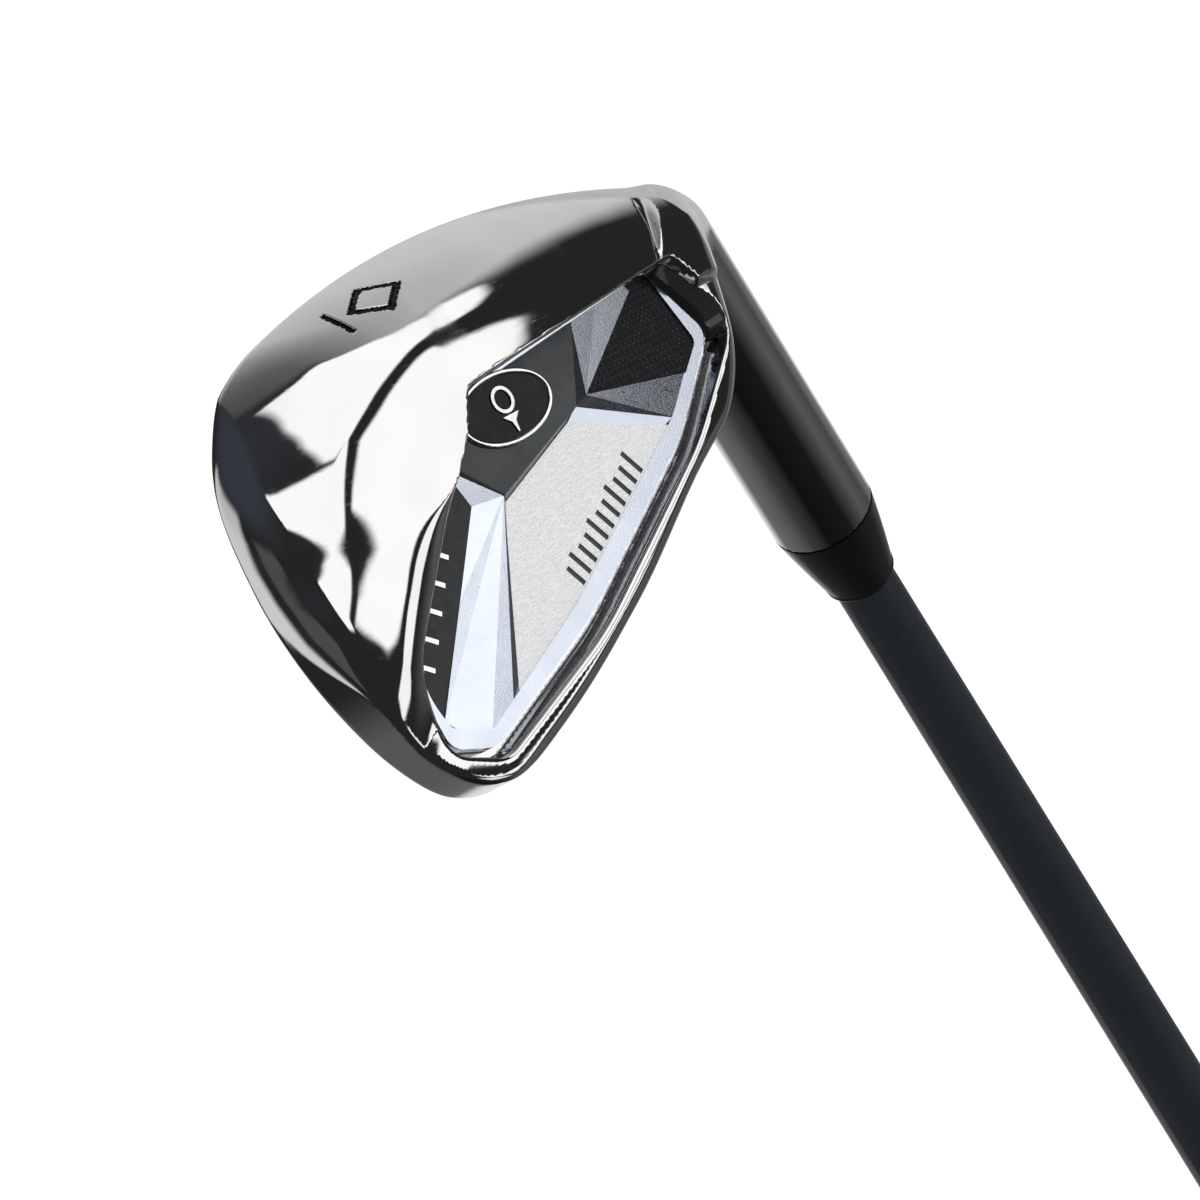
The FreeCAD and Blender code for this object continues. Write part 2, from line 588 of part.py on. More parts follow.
def tip_weight():
    """Swing-weight pin in the shaft tip, with a flange over its end."""
    end = tip_z()
    bottom = end - WEIGHT_LENGTH
    top = end + WEIGHT_FLANGE
    return turned([(0, bottom), (WEIGHT_RADIUS, bottom), (WEIGHT_RADIUS, end), (WEIGHT_FLANGE_RADIUS, end),
                   (WEIGHT_FLANGE_RADIUS, top), (0, top)])


def ferrule():
    """Tapered collar whose outside bows slightly and ends in a rounded lip."""
    bottom = toward_head(HOSEL_TOP)
    top = bottom - FERRULE_LENGTH
    inner = TIP_RADIUS + FERRULE_BORE_GAP
    start = Vector(HOSEL_RADIUS, 0, bottom)
    bow = Vector(HOSEL_RADIUS - FERRULE_BOW[0], 0, bottom - FERRULE_LENGTH * FERRULE_BOW[1])
    lip_start = Vector(FERRULE_TOP_RADIUS + 0.25, 0, top + FERRULE_LIP)
    lip_middle = Vector(FERRULE_TOP_RADIUS + 0.2, 0, top + 0.3 * FERRULE_LIP)
    lip_end = Vector(FERRULE_TOP_RADIUS - 0.1, 0, top)
    side = Part.BSplineCurve()
    side.interpolate([start, bow, lip_start])
    edges = [
        side.toShape(),
        Part.Arc(lip_start, lip_middle, lip_end).toShape(),
        Part.makeLine(lip_end, Vector(inner, 0, top)),
        Part.makeLine(Vector(inner, 0, top), Vector(inner, 0, bottom)),
        Part.makeLine(Vector(inner, 0, bottom), start),
    ]
    return Part.Face(Part.Wire(edges)).revolve(Vector(0, 0, 0), Vector(0, 0, 1), 360)


def grip_tape():
    low = CAP_THICKNESS
    high = TAPE_LENGTH
    inside = [(shaft_radius(low), low), (shaft_radius(taper_end()), taper_end()), (shaft_radius(high), high)]
    outside = [(radius + TAPE_THICKNESS, z) for radius, z in reversed(inside)]
    return turned(inside + outside)


def grip_outline():
    """Outside of the grip: flared butt, swell, taper to the mouth."""
    curve = Part.BSplineCurve()
    curve.interpolate([Vector(radius, 0, z) for z, radius in GRIP_RADII])
    return curve


def grip_sleeve():
    low = CAP_THICKNESS
    gap = TAPE_THICKNESS
    side = grip_outline()
    inner = [(shaft_radius(GRIP_LENGTH), GRIP_LENGTH), (shaft_radius(TAPE_LENGTH), TAPE_LENGTH),
             (shaft_radius(TAPE_LENGTH) + gap, TAPE_LENGTH), (shaft_radius(taper_end()) + gap, taper_end()),
             (shaft_radius(low) + gap, low)]
    points = [side.EndPoint] + [Vector(radius, 0, z) for radius, z in inner] + [side.StartPoint]
    edges = [side.toShape()]
    for start, end in zip(points[:-1], points[1:]):
        edges.append(Part.makeLine(start, end))
    sleeve = Part.Face(Part.Wire(edges)).revolve(Vector(0, 0, 0), Vector(0, 0, 1), 360)
    rings = []
    for i in range(GRIP_RING_COUNT):
        z = GRIP_RING_FIRST + i * GRIP_RING_PITCH
        radius = side.intersect(Part.LineSegment(Vector(0, 0, z), Vector(30, 0, z)))[0].X
        tube = GRIP_RING_WIDTH / 2
        rings.append(Part.makeTorus(radius + tube - GRIP_RING_DEPTH, tube, Vector(0, 0, z)))
    return sleeve.cut(rings)


def grip_cap():
    """Butt cap with a hollow spigot in the shaft and the vent hole through its middle."""
    crown = Part.makeCylinder(CAP_RADIUS, CAP_THICKNESS)
    butt_edge = [edge for edge in crown.Edges if abs(edge.CenterOfMass.z) < 1e-6 and edge.Closed]
    crown = crown.makeFillet(CAP_ROUNDING, butt_edge)
    spigot = Part.makeCylinder(CAP_SPIGOT_RADIUS, CAP_SPIGOT_LENGTH, Vector(0, 0, CAP_THICKNESS))
    hollow = Part.makeCylinder(CAP_SPIGOT_BORE, CAP_SPIGOT_LENGTH + 1, Vector(0, 0, CAP_THICKNESS))
    vent = Part.makeCylinder(VENT_RADIUS, CAP_THICKNESS + 2, Vector(0, 0, -1))
    return crown.fuse(spigot).cut([hollow, vent]).removeSplitter()


# ---------------------------------------------------------------- nodes


def build():
    base = badge_base()
    blade_nodes = {
        "badge_tape": badge_tape(),
        "badge_base": base,
        "badge_plate": badge_plate(base),
        "badge_bridge": badge_bridge(base),
        "heel_insert": heel_insert(base),
        "toe_insert": toe_insert(base),
        "emblem_ring": emblem_ring(),
        "emblem_disc": emblem_disc(),
        "emblem_mark": emblem_mark(),
    }
    nodes = {name: in_row(shape) for name, shape in blade_nodes.items()}
    nodes["head_body"] = head_body()
    nodes["hosel_epoxy"] = hosel_epoxy()
    nodes["tip_weight"] = tip_weight()
    nodes["ferrule"] = ferrule()
    nodes["shaft"] = shaft()
    nodes["grip_tape"] = grip_tape()
    nodes["grip_sleeve"] = grip_sleeve()
    nodes["grip_cap"] = grip_cap()
    return nodes


os.makedirs("parts", exist_ok=True)
for name, shape in build().items():
    print(name, "valid" if shape.isValid() else "INVALID", len(shape.Solids), round(shape.Volume, 2))
    shape.exportStep("parts/" + name + ".step")
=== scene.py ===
import json
import math
from itertools import product

import bpy
import numpy as np
from mathutils import Matrix, Vector


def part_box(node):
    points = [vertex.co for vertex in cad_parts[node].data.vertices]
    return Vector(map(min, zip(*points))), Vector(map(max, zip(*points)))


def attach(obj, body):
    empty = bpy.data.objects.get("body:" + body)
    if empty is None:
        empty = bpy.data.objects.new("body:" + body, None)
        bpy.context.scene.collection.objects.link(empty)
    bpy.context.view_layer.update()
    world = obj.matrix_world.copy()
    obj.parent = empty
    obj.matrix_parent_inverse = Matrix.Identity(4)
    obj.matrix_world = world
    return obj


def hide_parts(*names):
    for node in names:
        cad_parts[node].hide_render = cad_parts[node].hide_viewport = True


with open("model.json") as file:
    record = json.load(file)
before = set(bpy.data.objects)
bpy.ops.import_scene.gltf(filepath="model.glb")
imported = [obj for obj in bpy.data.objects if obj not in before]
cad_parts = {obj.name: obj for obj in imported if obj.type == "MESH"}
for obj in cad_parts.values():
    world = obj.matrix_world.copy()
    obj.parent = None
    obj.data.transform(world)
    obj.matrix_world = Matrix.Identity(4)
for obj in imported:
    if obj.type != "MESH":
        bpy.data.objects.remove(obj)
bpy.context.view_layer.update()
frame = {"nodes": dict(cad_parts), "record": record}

# Looks of a right-handed iron golf club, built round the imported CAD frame.
# Row frame: metres, +Z up the shaft to the head, +X to the toe, +Y to the back of the head.
# Blade frame: millimetres, x from heel to toe, s up the face, w from the face to the back.

MM = 0.001

# ---------------- the blade frame, from the face mount

FACE_MOUNT_POINT = np.array([40.0, 28.8, 0.02])  # where the face mount sits, in the blade frame


def read_blade_frame():
    """Axes and origin of the blade frame in the row frame, and its lie and loft, from the face mount."""
    mount = next(m for m in frame["record"]["mounts"] if m["name"] == "club_face")
    w_axis = -np.array(mount["axis"], float)
    w_axis /= np.linalg.norm(w_axis)
    lie = math.atan2(w_axis[2], -w_axis[0])
    loft = math.acos(w_axis[1])
    x_axis = np.array([math.sin(lie), 0.0, math.cos(lie)])
    s_axis = np.cross(w_axis, x_axis)
    axes = np.stack([x_axis, s_axis, w_axis])
    origin = np.array(mount["pos_m"]) - MM * FACE_MOUNT_POINT @ axes
    return axes, origin, lie, loft


BLADE_AXES, BLADE_ORIGIN, LIE, LOFT = read_blade_frame()
SIN_LIE, COS_LIE = math.sin(LIE), math.cos(LIE)
SIN_LOFT, COS_LOFT = math.sin(LOFT), math.cos(LOFT)


def to_row(points):
    """Blade-frame millimetres to row-frame metres."""
    return points @ BLADE_AXES * MM + BLADE_ORIGIN


def node_points(node):
    """The vertices of a CAD node in the blade frame, mm."""
    mesh = frame["nodes"][node].data
    co = np.zeros(len(mesh.vertices) * 3, np.float32)
    mesh.vertices.foreach_get("co", co)
    return (co.reshape(-1, 3) - BLADE_ORIGIN) @ BLADE_AXES.T / MM


def top_level(node):
    """w of the highest point of a CAD node, mm from the face."""
    return float(node_points(node)[:, 2].max())


def row_span(node):
    """Lowest and highest row z of a CAD node, mm."""
    low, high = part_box(node)
    return low.z / MM, high.z / MM


# ---------------- head shape, mm in the blade frame
# The head is one implicit solid. Each field below is negative inside and close to a distance, and they are
# joined with round edges and fillets. A SPAN is where a smooth change starts and where it is complete.

GROUND_LEAD = 0.6  # the leading edge stands this far in front of the shaft axis
HOSEL_RADIUS = 7.2
HOSEL_TOP = 70.7  # along the shaft axis from the ground point
HOSEL_TOP_ROUND = 0.5
HOSEL_FOOT = 18.0  # the hosel ends in a half ball below this
HOSEL_FILLET = 7.0  # between the hosel and the blade
HOSEL_SOLE_CUT = 0.4  # the fillet may stand this far outside the sole
HOSEL_SOLE_ROUND = 1.2
BORE_RADIUS = 4.38
BORE_BOTTOM = 38.7

SOLE_CENTRE = 36.6
SOLE_CAMBER = 132.0
SOLE_DROP = 0.25  # lowest point under the ground point
SOLE_FLAT = 2.5  # the sole starts to rise this far behind the leading edge
SOLE_RISE = 0.0205
SOLE_ROUND = 3.0  # between the sole and the muscle
TOE_SOLE_ROUND = 5.0  # added to it where the sole meets the toe
TOE_SOLE_SPAN = (54.0, 78.0)  # in x
MUSCLE_W = 12.55  # w of the muscle's back at this x and s
MUSCLE_PEAK_X = 42.0
MUSCLE_S = 13.8
MUSCLE_SLOPE = 0.05
MUSCLE_TOE_RADIUS = 300.0
MUSCLE_HEEL_RADIUS = 220.0
RIM_W = 7.0
RIM_CLIMB = 0.145
RIM_CLIMB_SPAN = (20.0, 45.0)  # in x
RIM_LEVEL_WIDTH = 12.0  # the rim is level this far down from the topline
TOPLINE_NORMAL = (-0.402, 0.916)
TOPLINE_LEVEL = 31.3
LOBE_TOP = 21.4  # s where the muscle block ends above the heel
BLOCK_TURN_X = 48.0
BLOCK_CLIMB = 0.95
BLOCK_STEP = 1.2  # width of the step from the muscle block down to the rim
BLOCK_STEP_GROWTH = 12.0  # it is this much wider towards the toe
BLOCK_STEP_SPAN = (56.0, 68.0)  # in x

BAND_ANGLE = math.radians(17)  # the band outside the ridge leans this much from the muscle's back
BAND_BEND = 45.0  # and curves away with this radius
BAND_REACH = 6.0  # its lean is not followed further inside the ridge than this

FACE_ROUND = 1.1
RIDGE_ROUND = 1.6
RIM_WIDENING = 0.9  # the ridge runs this much nearer the edge along the topline
RIM_WIDENING_SPAN = (32.0, 42.0)  # in s
TOPLINE_WIDENING = 2.0  # and by this more close to the topline, where no ridge is left
TOPLINE_WIDENING_SPAN = (11.0, 6.0)  # down from the topline
TOPLINE_ROUND = 1.7  # rounding of the blade's edge along the topline, and at the toe corner
TOE_CORNER_ROUND = 0.9
TOE_CORNER_SPAN = (60.0, 68.0)  # in x
TOE_SIDE_ROUND = 3.2  # added to it down the toe side
TOE_SIDE_SPAN = (62.0, 76.0)  # in x
TOE_SIDE_TOP_SPAN = (50.0, 38.0)  # in s
HEEL_SIDE_ROUND = 4.5  # added to it at the heel side
HEEL_SIDE_SPAN = (9.0, -3.0)  # in x

CAVITY_FLOOR = 3.6
CAVITY_FLOOR_ROUND = 0.25
LIP_ROUND = 0.4  # rounding of the cavity's mouth beside the muscle, and along the rim
RIM_ROUND = 0.9
MOUTH_ROUND_SPAN = (34.0, 44.0)  # in s
# x, s and radius of each corner of the cavity, at its floor and at its mouth.
FLOOR_CORNERS = [(1.6, 27.4, 3.2), (15.0, 38.0, 40.0), (43.0, 52.2, 60.0), (66.8, 60.4, 5.0),
                 (74.2, 57.6, 3.0), (73.2, 46.8, 10.0), (57.5, 30.4, 6.0), (54.0, 28.8, 3.0),
                 (48.8, 20.4, 2.5), (8.6, 16.6, 1.5)]
MOUTH_CORNERS = [(-0.9, 27.2, 3.6), (15.0, 38.9, 40.0), (43.4, 53.4, 60.0), (67.0, 60.8, 5.0),
                 (74.3, 57.5, 3.2), (73.3, 46.9, 10.0), (57.8, 30.2, 6.0), (54.2, 28.6, 3.0),
                 (49.0, 20.2, 2.5), (6.6, 16.9, 1.5)]

BLADE_LOOP = [(-7, 0), (-6.4, 13), (-4.2, 24), (-0.6, 31.6), (6.6, 37.2), (17.8, 42.7),
              (31.2, 50.1), (39.5, 54.1), (48.4, 58), (56.5, 61), (63.1, 63), (68.6, 63.3),
              (74, 60.9), (78.6, 54.6), (81.9, 46.2), (83.7, 37.6), (84, 29.6), (83, 20.6),
              (80.2, 12), (74.4, 0), (60, -9), (34, -12), (6, -9)]
RIDGE_LOOP = [(-12, 13.6), (20, 13.9), (44, 13.9), (50.5, 13), (54.5, 13.2), (58.5, 14.5),
              (61.7, 16.2), (67.3, 19.9), (71.3, 25.8), (73.6, 32.5), (75.6, 36.6), (79, 42.3),
              (79.9, 47), (77.5, 53.6), (73.2, 59.6), (68.2, 62.1), (62.9, 61.7), (48.2, 56.7),
              (31.4, 48.8), (17.9, 41.4), (6.9, 35.9), (0, 30.4), (-6, 24)]

CREASE_START = (2.2, 8.6, 6.2)  # groove between the muscle and the heel lobe, wide at its start
CREASE_END = (9.2, 17.2, 10.2)
CREASE_RADIUS = 1.15
CREASE_TAPER = 0.8
CREASE_ROUND = 0.7

INDEX_CENTRE = (50.5, 8.4)  # x and distance behind the leading edge of the mark on the sole
INDEX_HALF_SIZE = (4.2, 2.7)
INDEX_BAR_PLACE = 6.6
INDEX_BAR_HALF = 2.2
INDEX_CUT_HALF = 0.3  # half width of the cut lines, and of the painted shade in and round them
INDEX_LINE_HALF = 0.42
INDEX_DIAMOND_SCALE = 2.27  # turns the share across a diamond line into mm
INDEX_DEPTH = 0.35
INDEX_FLOOR_ROUND = 0.1
INDEX_EDGE_ROUND = 0.15
INDEX_TOP = 7.0  # only the sole, under this height, is engraved

SCORE_COUNT = 13
SCORE_PITCH = 3.6
SCORE_FIRST = 9.0
SCORE_HALF_WIDTH = 0.45
SCORE_DEPTH = 0.4
SCORE_FLOOR_ROUND = 0.15
SCORE_EDGE_ROUND = 0.1
SCORE_TOE_X = 66.0  # the lowest line ends here
SCORE_TOE_STEP = 1.2  # and each of the next ones this much further out
SCORE_TOE_STEPS = 4
SCORE_HEEL_X = 12.0
SCORE_SLANT_FOOT = (6.0, 36.0)  # x and s of a point on the slant where the upper lines start
SCORE_SLANT = 0.46

GRID_LOW = (-43.0, -4.0, -39.5)  # box of the head's grid
GRID_HIGH = (87.0, 66.0, 15.0)
CELL = 0.56  # size of a mesh cell of the head, mm
BLADE_GRID_X = -6.0  # the blade's grid lines start here, and the hosel's come before them
FINE_X = (44.0, 81.0)  # the toe half, with shorter cells along x
FINE_X_SHARE = 0.58
FINE_S_HIGH = 63.5  # up to here the cells fit the score lines
SCORE_CELLS = 10  # cells from one score line to the next
FINE_W_HIGH = 14.0  # up to here the cells along w are shorter
FINE_W_SHARE = 0.7


def round_max(a, b, radius):
    """Intersection of two fields with a round edge."""
    u = np.maximum(a + radius, 0)
    v = np.maximum(b + radius, 0)
    return np.minimum(-radius, np.maximum(a, b)) + np.sqrt(u * u + v * v)


def round_min(a, b, radius):
    """Union of two fields with a fillet."""
    return -round_max(-a, -b, radius)


def smooth_step(t):
    """0 up to t = 0, 1 from t = 1, and smooth in between."""
    t = np.clip(t, 0, 1)
    return t * t * (3 - 2 * t)


def smooth_share(value, span):
    """0 up to the start of the span, 1 from its end, and smooth in between."""
    start, end = span
    return smooth_step((value - start) / (end - start))


def smooth_loop(points, count=480):
    """Closed Catmull-Rom curve through the points, evenly sampled."""
    p = np.array(points, float)
    t = np.linspace(0, len(p), count * 4, endpoint=False)
    i = t.astype(int)
    f = (t - i)[:, None]
    a, b, c, d = p[i - 1], p[i], p[(i + 1) % len(p)], p[(i + 2) % len(p)]
    curve = b + 0.5 * f * (c - a + f * (2 * a - 5 * b + 4 * c - d + f * (3 * (b - c) + d - a)))
    steps = np.linalg.norm(np.roll(curve, -1, 0) - curve, axis=1)
    length = np.concatenate([[0], np.cumsum(steps)])
    want = np.linspace(0, length[-1], count, endpoint=False)
    closed = np.vstack([curve, curve[:1]])
    return np.stack([np.interp(want, length, closed[:, k]) for k in (0, 1)], 1)


def rounded_loop(corners, arc_points=8):
    """Closed outline with tangent arcs at (x, s, radius) corners."""
    points = []
    for i, (x, s, radius) in enumerate(corners):
        corner = np.array([x, s])
        before = np.array(corners[i - 1][:2]) - corner
        after = np.array(corners[(i + 1) % len(corners)][:2]) - corner
        before /= np.linalg.norm(before)
        after /= np.linalg.norm(after)
        half = math.acos(np.clip(before @ after, -1, 1)) / 2
        bisector = (before + after) / np.linalg.norm(before + after)
        centre = corner + bisector * radius / math.sin(half)
        start = corner + before * radius / math.tan(half) - centre
        end = corner + after * radius / math.tan(half) - centre
        turn = math.atan2(start[0] * end[1] - start[1] * end[0], start @ end)
        for k in range(arc_points + 1):
            angle = turn * k / arc_points
            c, n = math.cos(angle), math.sin(angle)
            points.append(centre + np.array([start[0] * c - start[1] * n, start[0] * n + start[1] * c]))
    return np.array(points)


class LoopField:
    """Signed distance to a closed loop in the x-s plane, negative inside, read from a smoothed table."""

    pitch = 0.5
    margin = 2.0
    chunk = 4000  # points worked out at a time

    def __init__(self, loop):
        self.low = np.array(GRID_LOW[:2]) - self.margin
        high = np.array(GRID_HIGH[:2]) + self.margin
        self.count = np.ceil((high - self.low) / self.pitch).astype(int) + 1
        xs = self.low[0] + self.pitch * np.arange(self.count[0])
        ss = self.low[1] + self.pitch * np.arange(self.count[1])
        grid = np.stack(np.meshgrid(xs, ss, indexing="ij"), -1).reshape(-1, 2)
        start = loop
        edge = np.roll(loop, -1, 0) - loop
        end = start + edge
        length2 = (edge**2).sum(1)
        rise = np.where(edge[:, 1] == 0, 1, edge[:, 1])
        values = np.empty(len(grid))
        for i in range(0, len(grid), self.chunk):
            p = grid[i:i + self.chunk, None]
            t = np.clip(((p - start) * edge).sum(2) / length2, 0, 1)
            gap = p - start - t[..., None] * edge
            distance = np.sqrt((gap**2).sum(2).min(1))
            spans = (start[:, 1] > p[..., 1]) != (end[:, 1] > p[..., 1])
            crossing = start[:, 0] + (p[..., 1] - start[:, 1]) * edge[:, 0] / rise
            inside = (spans & (p[..., 0] < crossing)).sum(1) % 2 == 1
            values[i:i + self.chunk] = np.where(inside, -distance, distance)
        self.values = values.reshape(self.count)

    def __call__(self, x, s):
        u = np.clip((x - self.low[0]) / self.pitch, 1, self.count[0] - 2.001)
        v = np.clip((s - self.low[1]) / self.pitch, 1, self.count[1] - 2.001)
        i = u.astype(int)
        j = v.astype(int)
        u_weights = self.weights(u - i)
        v_weights = self.weights(v - j)
        total = 0
        for a in range(4):
            row = sum(v_weights[b] * self.values[i + a - 1, j + b - 1] for b in range(4))
            total = total + u_weights[a] * row
        return total

    @staticmethod
    def weights(f):
        """Cubic B-spline weights: they smooth the table a little as they read it."""
        return ((1 - f) ** 3 / 6, (4 - 6 * f**2 + 3 * f**3) / 6,
                (1 + 3 * f + 3 * f**2 - 3 * f**3) / 6, f**3 / 6)


BLADE_EDGE = LoopField(smooth_loop(BLADE_LOOP))
RIDGE_EDGE = LoopField(smooth_loop(RIDGE_LOOP))
FLOOR_EDGE = LoopField(rounded_loop(FLOOR_CORNERS))
MOUTH_EDGE = LoopField(rounded_loop(MOUTH_CORNERS))


def ground_place(s, w):
    """Distance behind the leading edge and height over the ground point, with the sole on the ground."""
    return s * SIN_LOFT + w * COS_LOFT, s * COS_LOFT - w * SIN_LOFT


def below_topline(x, s):
    """Distance down the face from a straight line along the topline."""
    return TOPLINE_LEVEL - (TOPLINE_NORMAL[0] * x + TOPLINE_NORMAL[1] * s)


def sole_field(x, back, height):
    """Above the sole: cambered from heel to toe and curving up behind the leading edge."""
    run = np.maximum(back - SOLE_FLAT, 0)
    camber = (x - SOLE_CENTRE) ** 2 / (2 * SOLE_CAMBER)
    level = camber - SOLE_DROP + SOLE_RISE * run**2
    slope2 = ((x - SOLE_CENTRE) / SOLE_CAMBER) ** 2 + (2 * SOLE_RISE * run) ** 2
    return (level - height) / np.sqrt(1 + slope2)


def back_level(x, s):
    """w of the back: the muscle below the cavity, the thinner rim round the rest of it."""
    radius = np.where(x > MUSCLE_PEAK_X, MUSCLE_TOE_RADIUS, MUSCLE_HEEL_RADIUS)
    muscle = MUSCLE_W - MUSCLE_SLOPE * (s - MUSCLE_S) - (x - MUSCLE_PEAK_X) ** 2 / (2 * radius)
    down = np.maximum(below_topline(x, s) - RIM_LEVEL_WIDTH, 0)
    rim = RIM_W + RIM_CLIMB * down * smooth_share(x, RIM_CLIMB_SPAN)
    edge = LOBE_TOP + BLOCK_CLIMB * np.maximum(x - BLOCK_TURN_X, 0)
    width = BLOCK_STEP + BLOCK_STEP_GROWTH * smooth_share(x, BLOCK_STEP_SPAN)
    share = smooth_step((edge + width / 2 - s) / width)
    return rim + (muscle - rim) * share


def axis_place(x, s, w):
    """Distance from the shaft axis and distance along it from the ground point."""
    back, height = ground_place(s, w)
    forward = GROUND_LEAD - back
    across = x * SIN_LIE + height * COS_LIE
    along = height * SIN_LIE - x * COS_LIE
    return np.sqrt(forward**2 + across**2), along


def hosel_field(radius, along):
    """Cylinder round the shaft axis, with a rounded top and a half ball at its foot."""
    below = np.minimum(along - HOSEL_FOOT, 0)
    side = np.sqrt(radius**2 + below**2) - HOSEL_RADIUS
    return round_max(side, along - HOSEL_TOP, HOSEL_TOP_ROUND)


def crease_field(x, s, w):
    """Tapered groove between the muscle and the heel lobe, wide at the sole."""
    run = np.array(CREASE_END) - np.array(CREASE_START)
    offset = [value - start for value, start in zip((x, s, w), CREASE_START)]
    t = np.clip(sum(offset[k] * run[k] for k in range(3)) / (run @ run), 0, 1)
    gap2 = sum((offset[k] - t * run[k]) ** 2 for k in range(3))
    return np.sqrt(gap2) - CREASE_RADIUS * (1 - t) ** CREASE_TAPER


def score_field(x, s, w):
    """The score lines in the face: negative inside the grooves."""
    row = np.clip(np.round((s - SCORE_FIRST) / SCORE_PITCH), 0, SCORE_COUNT - 1)
    middle = SCORE_FIRST + row * SCORE_PITCH
    toe_end = SCORE_TOE_X + SCORE_TOE_STEP * np.minimum(row, SCORE_TOE_STEPS)
    slant = (middle - SCORE_SLANT_FOOT[1]) / SCORE_SLANT + SCORE_SLANT_FOOT[0]
    heel_end = np.maximum(SCORE_HEEL_X, slant)
    across = np.abs(s - middle) - SCORE_HALF_WIDTH
    along = np.maximum(heel_end - x, x - toe_end)
    return round_max(round_max(across, along, SCORE_EDGE_ROUND), w - SCORE_DEPTH, SCORE_FLOOR_ROUND)


def index_mark_field(x, back, height):
    """A plain diamond and a bar beside it, where a club number would be: negative in the engraved lines."""
    along = (x - INDEX_CENTRE[0]) / INDEX_HALF_SIZE[0]
    across = (back - INDEX_CENTRE[1]) / INDEX_HALF_SIZE[1]
    diamond = np.abs(np.abs(along) + np.abs(across) - 1) * INDEX_DIAMOND_SCALE
    bar_across = np.maximum(np.abs(back - INDEX_CENTRE[1]) - INDEX_BAR_HALF, 0)
    bar = np.hypot(x - INDEX_CENTRE[0] - INDEX_BAR_PLACE, bar_across)
    return np.maximum(np.minimum(diamond, bar) - INDEX_CUT_HALF, height - INDEX_TOP)


def back_field(x, s, w):
    """Under the back and under the band that leans away from it outside the ridge."""
    ridge = RIDGE_EDGE(x, s) - RIM_WIDENING * smooth_share(s, RIM_WIDENING_SPAN)
    ridge = ridge - TOPLINE_WIDENING * smooth_share(below_topline(x, s), TOPLINE_WIDENING_SPAN)
    back = w - back_level(x, s)
    band = math.cos(BAND_ANGLE) * back + math.sin(BAND_ANGLE) * np.maximum(ridge, -BAND_REACH)
    band = band + np.maximum(ridge, 0) ** 2 / (2 * BAND_BEND)
    return round_max(back, band, RIDGE_ROUND)


def edge_rounding(x, s):
    """Radius between the blade's back and its outline."""
    radius = TOPLINE_ROUND - (TOPLINE_ROUND - TOE_CORNER_ROUND) * smooth_share(x, TOE_CORNER_SPAN)
    toe_side = TOE_SIDE_ROUND * smooth_share(x, TOE_SIDE_SPAN) * smooth_share(s, TOE_SIDE_TOP_SPAN)
    return radius + toe_side + HEEL_SIDE_ROUND * smooth_share(x, HEEL_SIDE_SPAN)


def blade_field(x, s, w, sole):
    """The blade without its cavity."""
    blade = round_max(back_field(x, s, w), BLADE_EDGE(x, s), edge_rounding(x, s))
    sole_round = SOLE_ROUND + TOE_SOLE_ROUND * smooth_share(x, TOE_SOLE_SPAN)
    blade = round_max(blade, sole, sole_round)
    return round_max(blade, -w, FACE_ROUND)


def cavity_field(x, s, w):
    """The cavity behind the face, a little wider at its mouth."""
    mouth_share = np.clip((w - CAVITY_FLOOR) / (RIM_W - CAVITY_FLOOR), 0, 1)
    wall = FLOOR_EDGE(x, s) * (1 - mouth_share) + MOUTH_EDGE(x, s) * mouth_share
    return round_max(wall, CAVITY_FLOOR - w, CAVITY_FLOOR_ROUND)


def head_field(x, s, w):
    """The whole head: negative inside the metal."""
    back, height = ground_place(s, w)
    radius, along = axis_place(x, s, w)
    sole = sole_field(x, back, height)
    body = round_min(blade_field(x, s, w, sole), hosel_field(radius, along), HOSEL_FILLET)
    body = round_max(body, sole - HOSEL_SOLE_CUT, HOSEL_SOLE_ROUND)
    mouth_round = LIP_ROUND + (RIM_ROUND - LIP_ROUND) * smooth_share(s, MOUTH_ROUND_SPAN)
    body = round_max(body, -cavity_field(x, s, w), mouth_round)
    body = round_max(body, -crease_field(x, s, w), CREASE_ROUND)
    engraving = round_max(index_mark_field(x, back, height), -body - INDEX_DEPTH, INDEX_FLOOR_ROUND)
    body = round_max(body, -engraving, INDEX_EDGE_ROUND)
    body = round_max(body, -score_field(x, s, w), SCORE_EDGE_ROUND)
    bore = np.maximum(radius - BORE_RADIUS, BORE_BOTTOM - along)
    return np.maximum(body, -bore)


# ---------------- head mesh


def graded(low, high, fine_low, fine_high, fine, coarse):
    """Grid lines from low to high, closer together between fine_low and fine_high."""
    parts = [np.arange(fine_low, low, -coarse)[::-1], np.arange(fine_low + fine, fine_high, fine),
             np.arange(fine_high, high, coarse)]
    return np.concatenate(parts)


def head_gradient(p, step=0.02):
    """Slope of the head's field at points, from differences over a short step, mm."""
    out = np.empty_like(p)
    for k in range(3):
        shift = np.zeros(3)
        shift[k] = step
        ahead = head_field(*(p + shift).T)
        behind = head_field(*(p - shift).T)
        out[:, k] = (ahead - behind) / (2 * step)
    return out


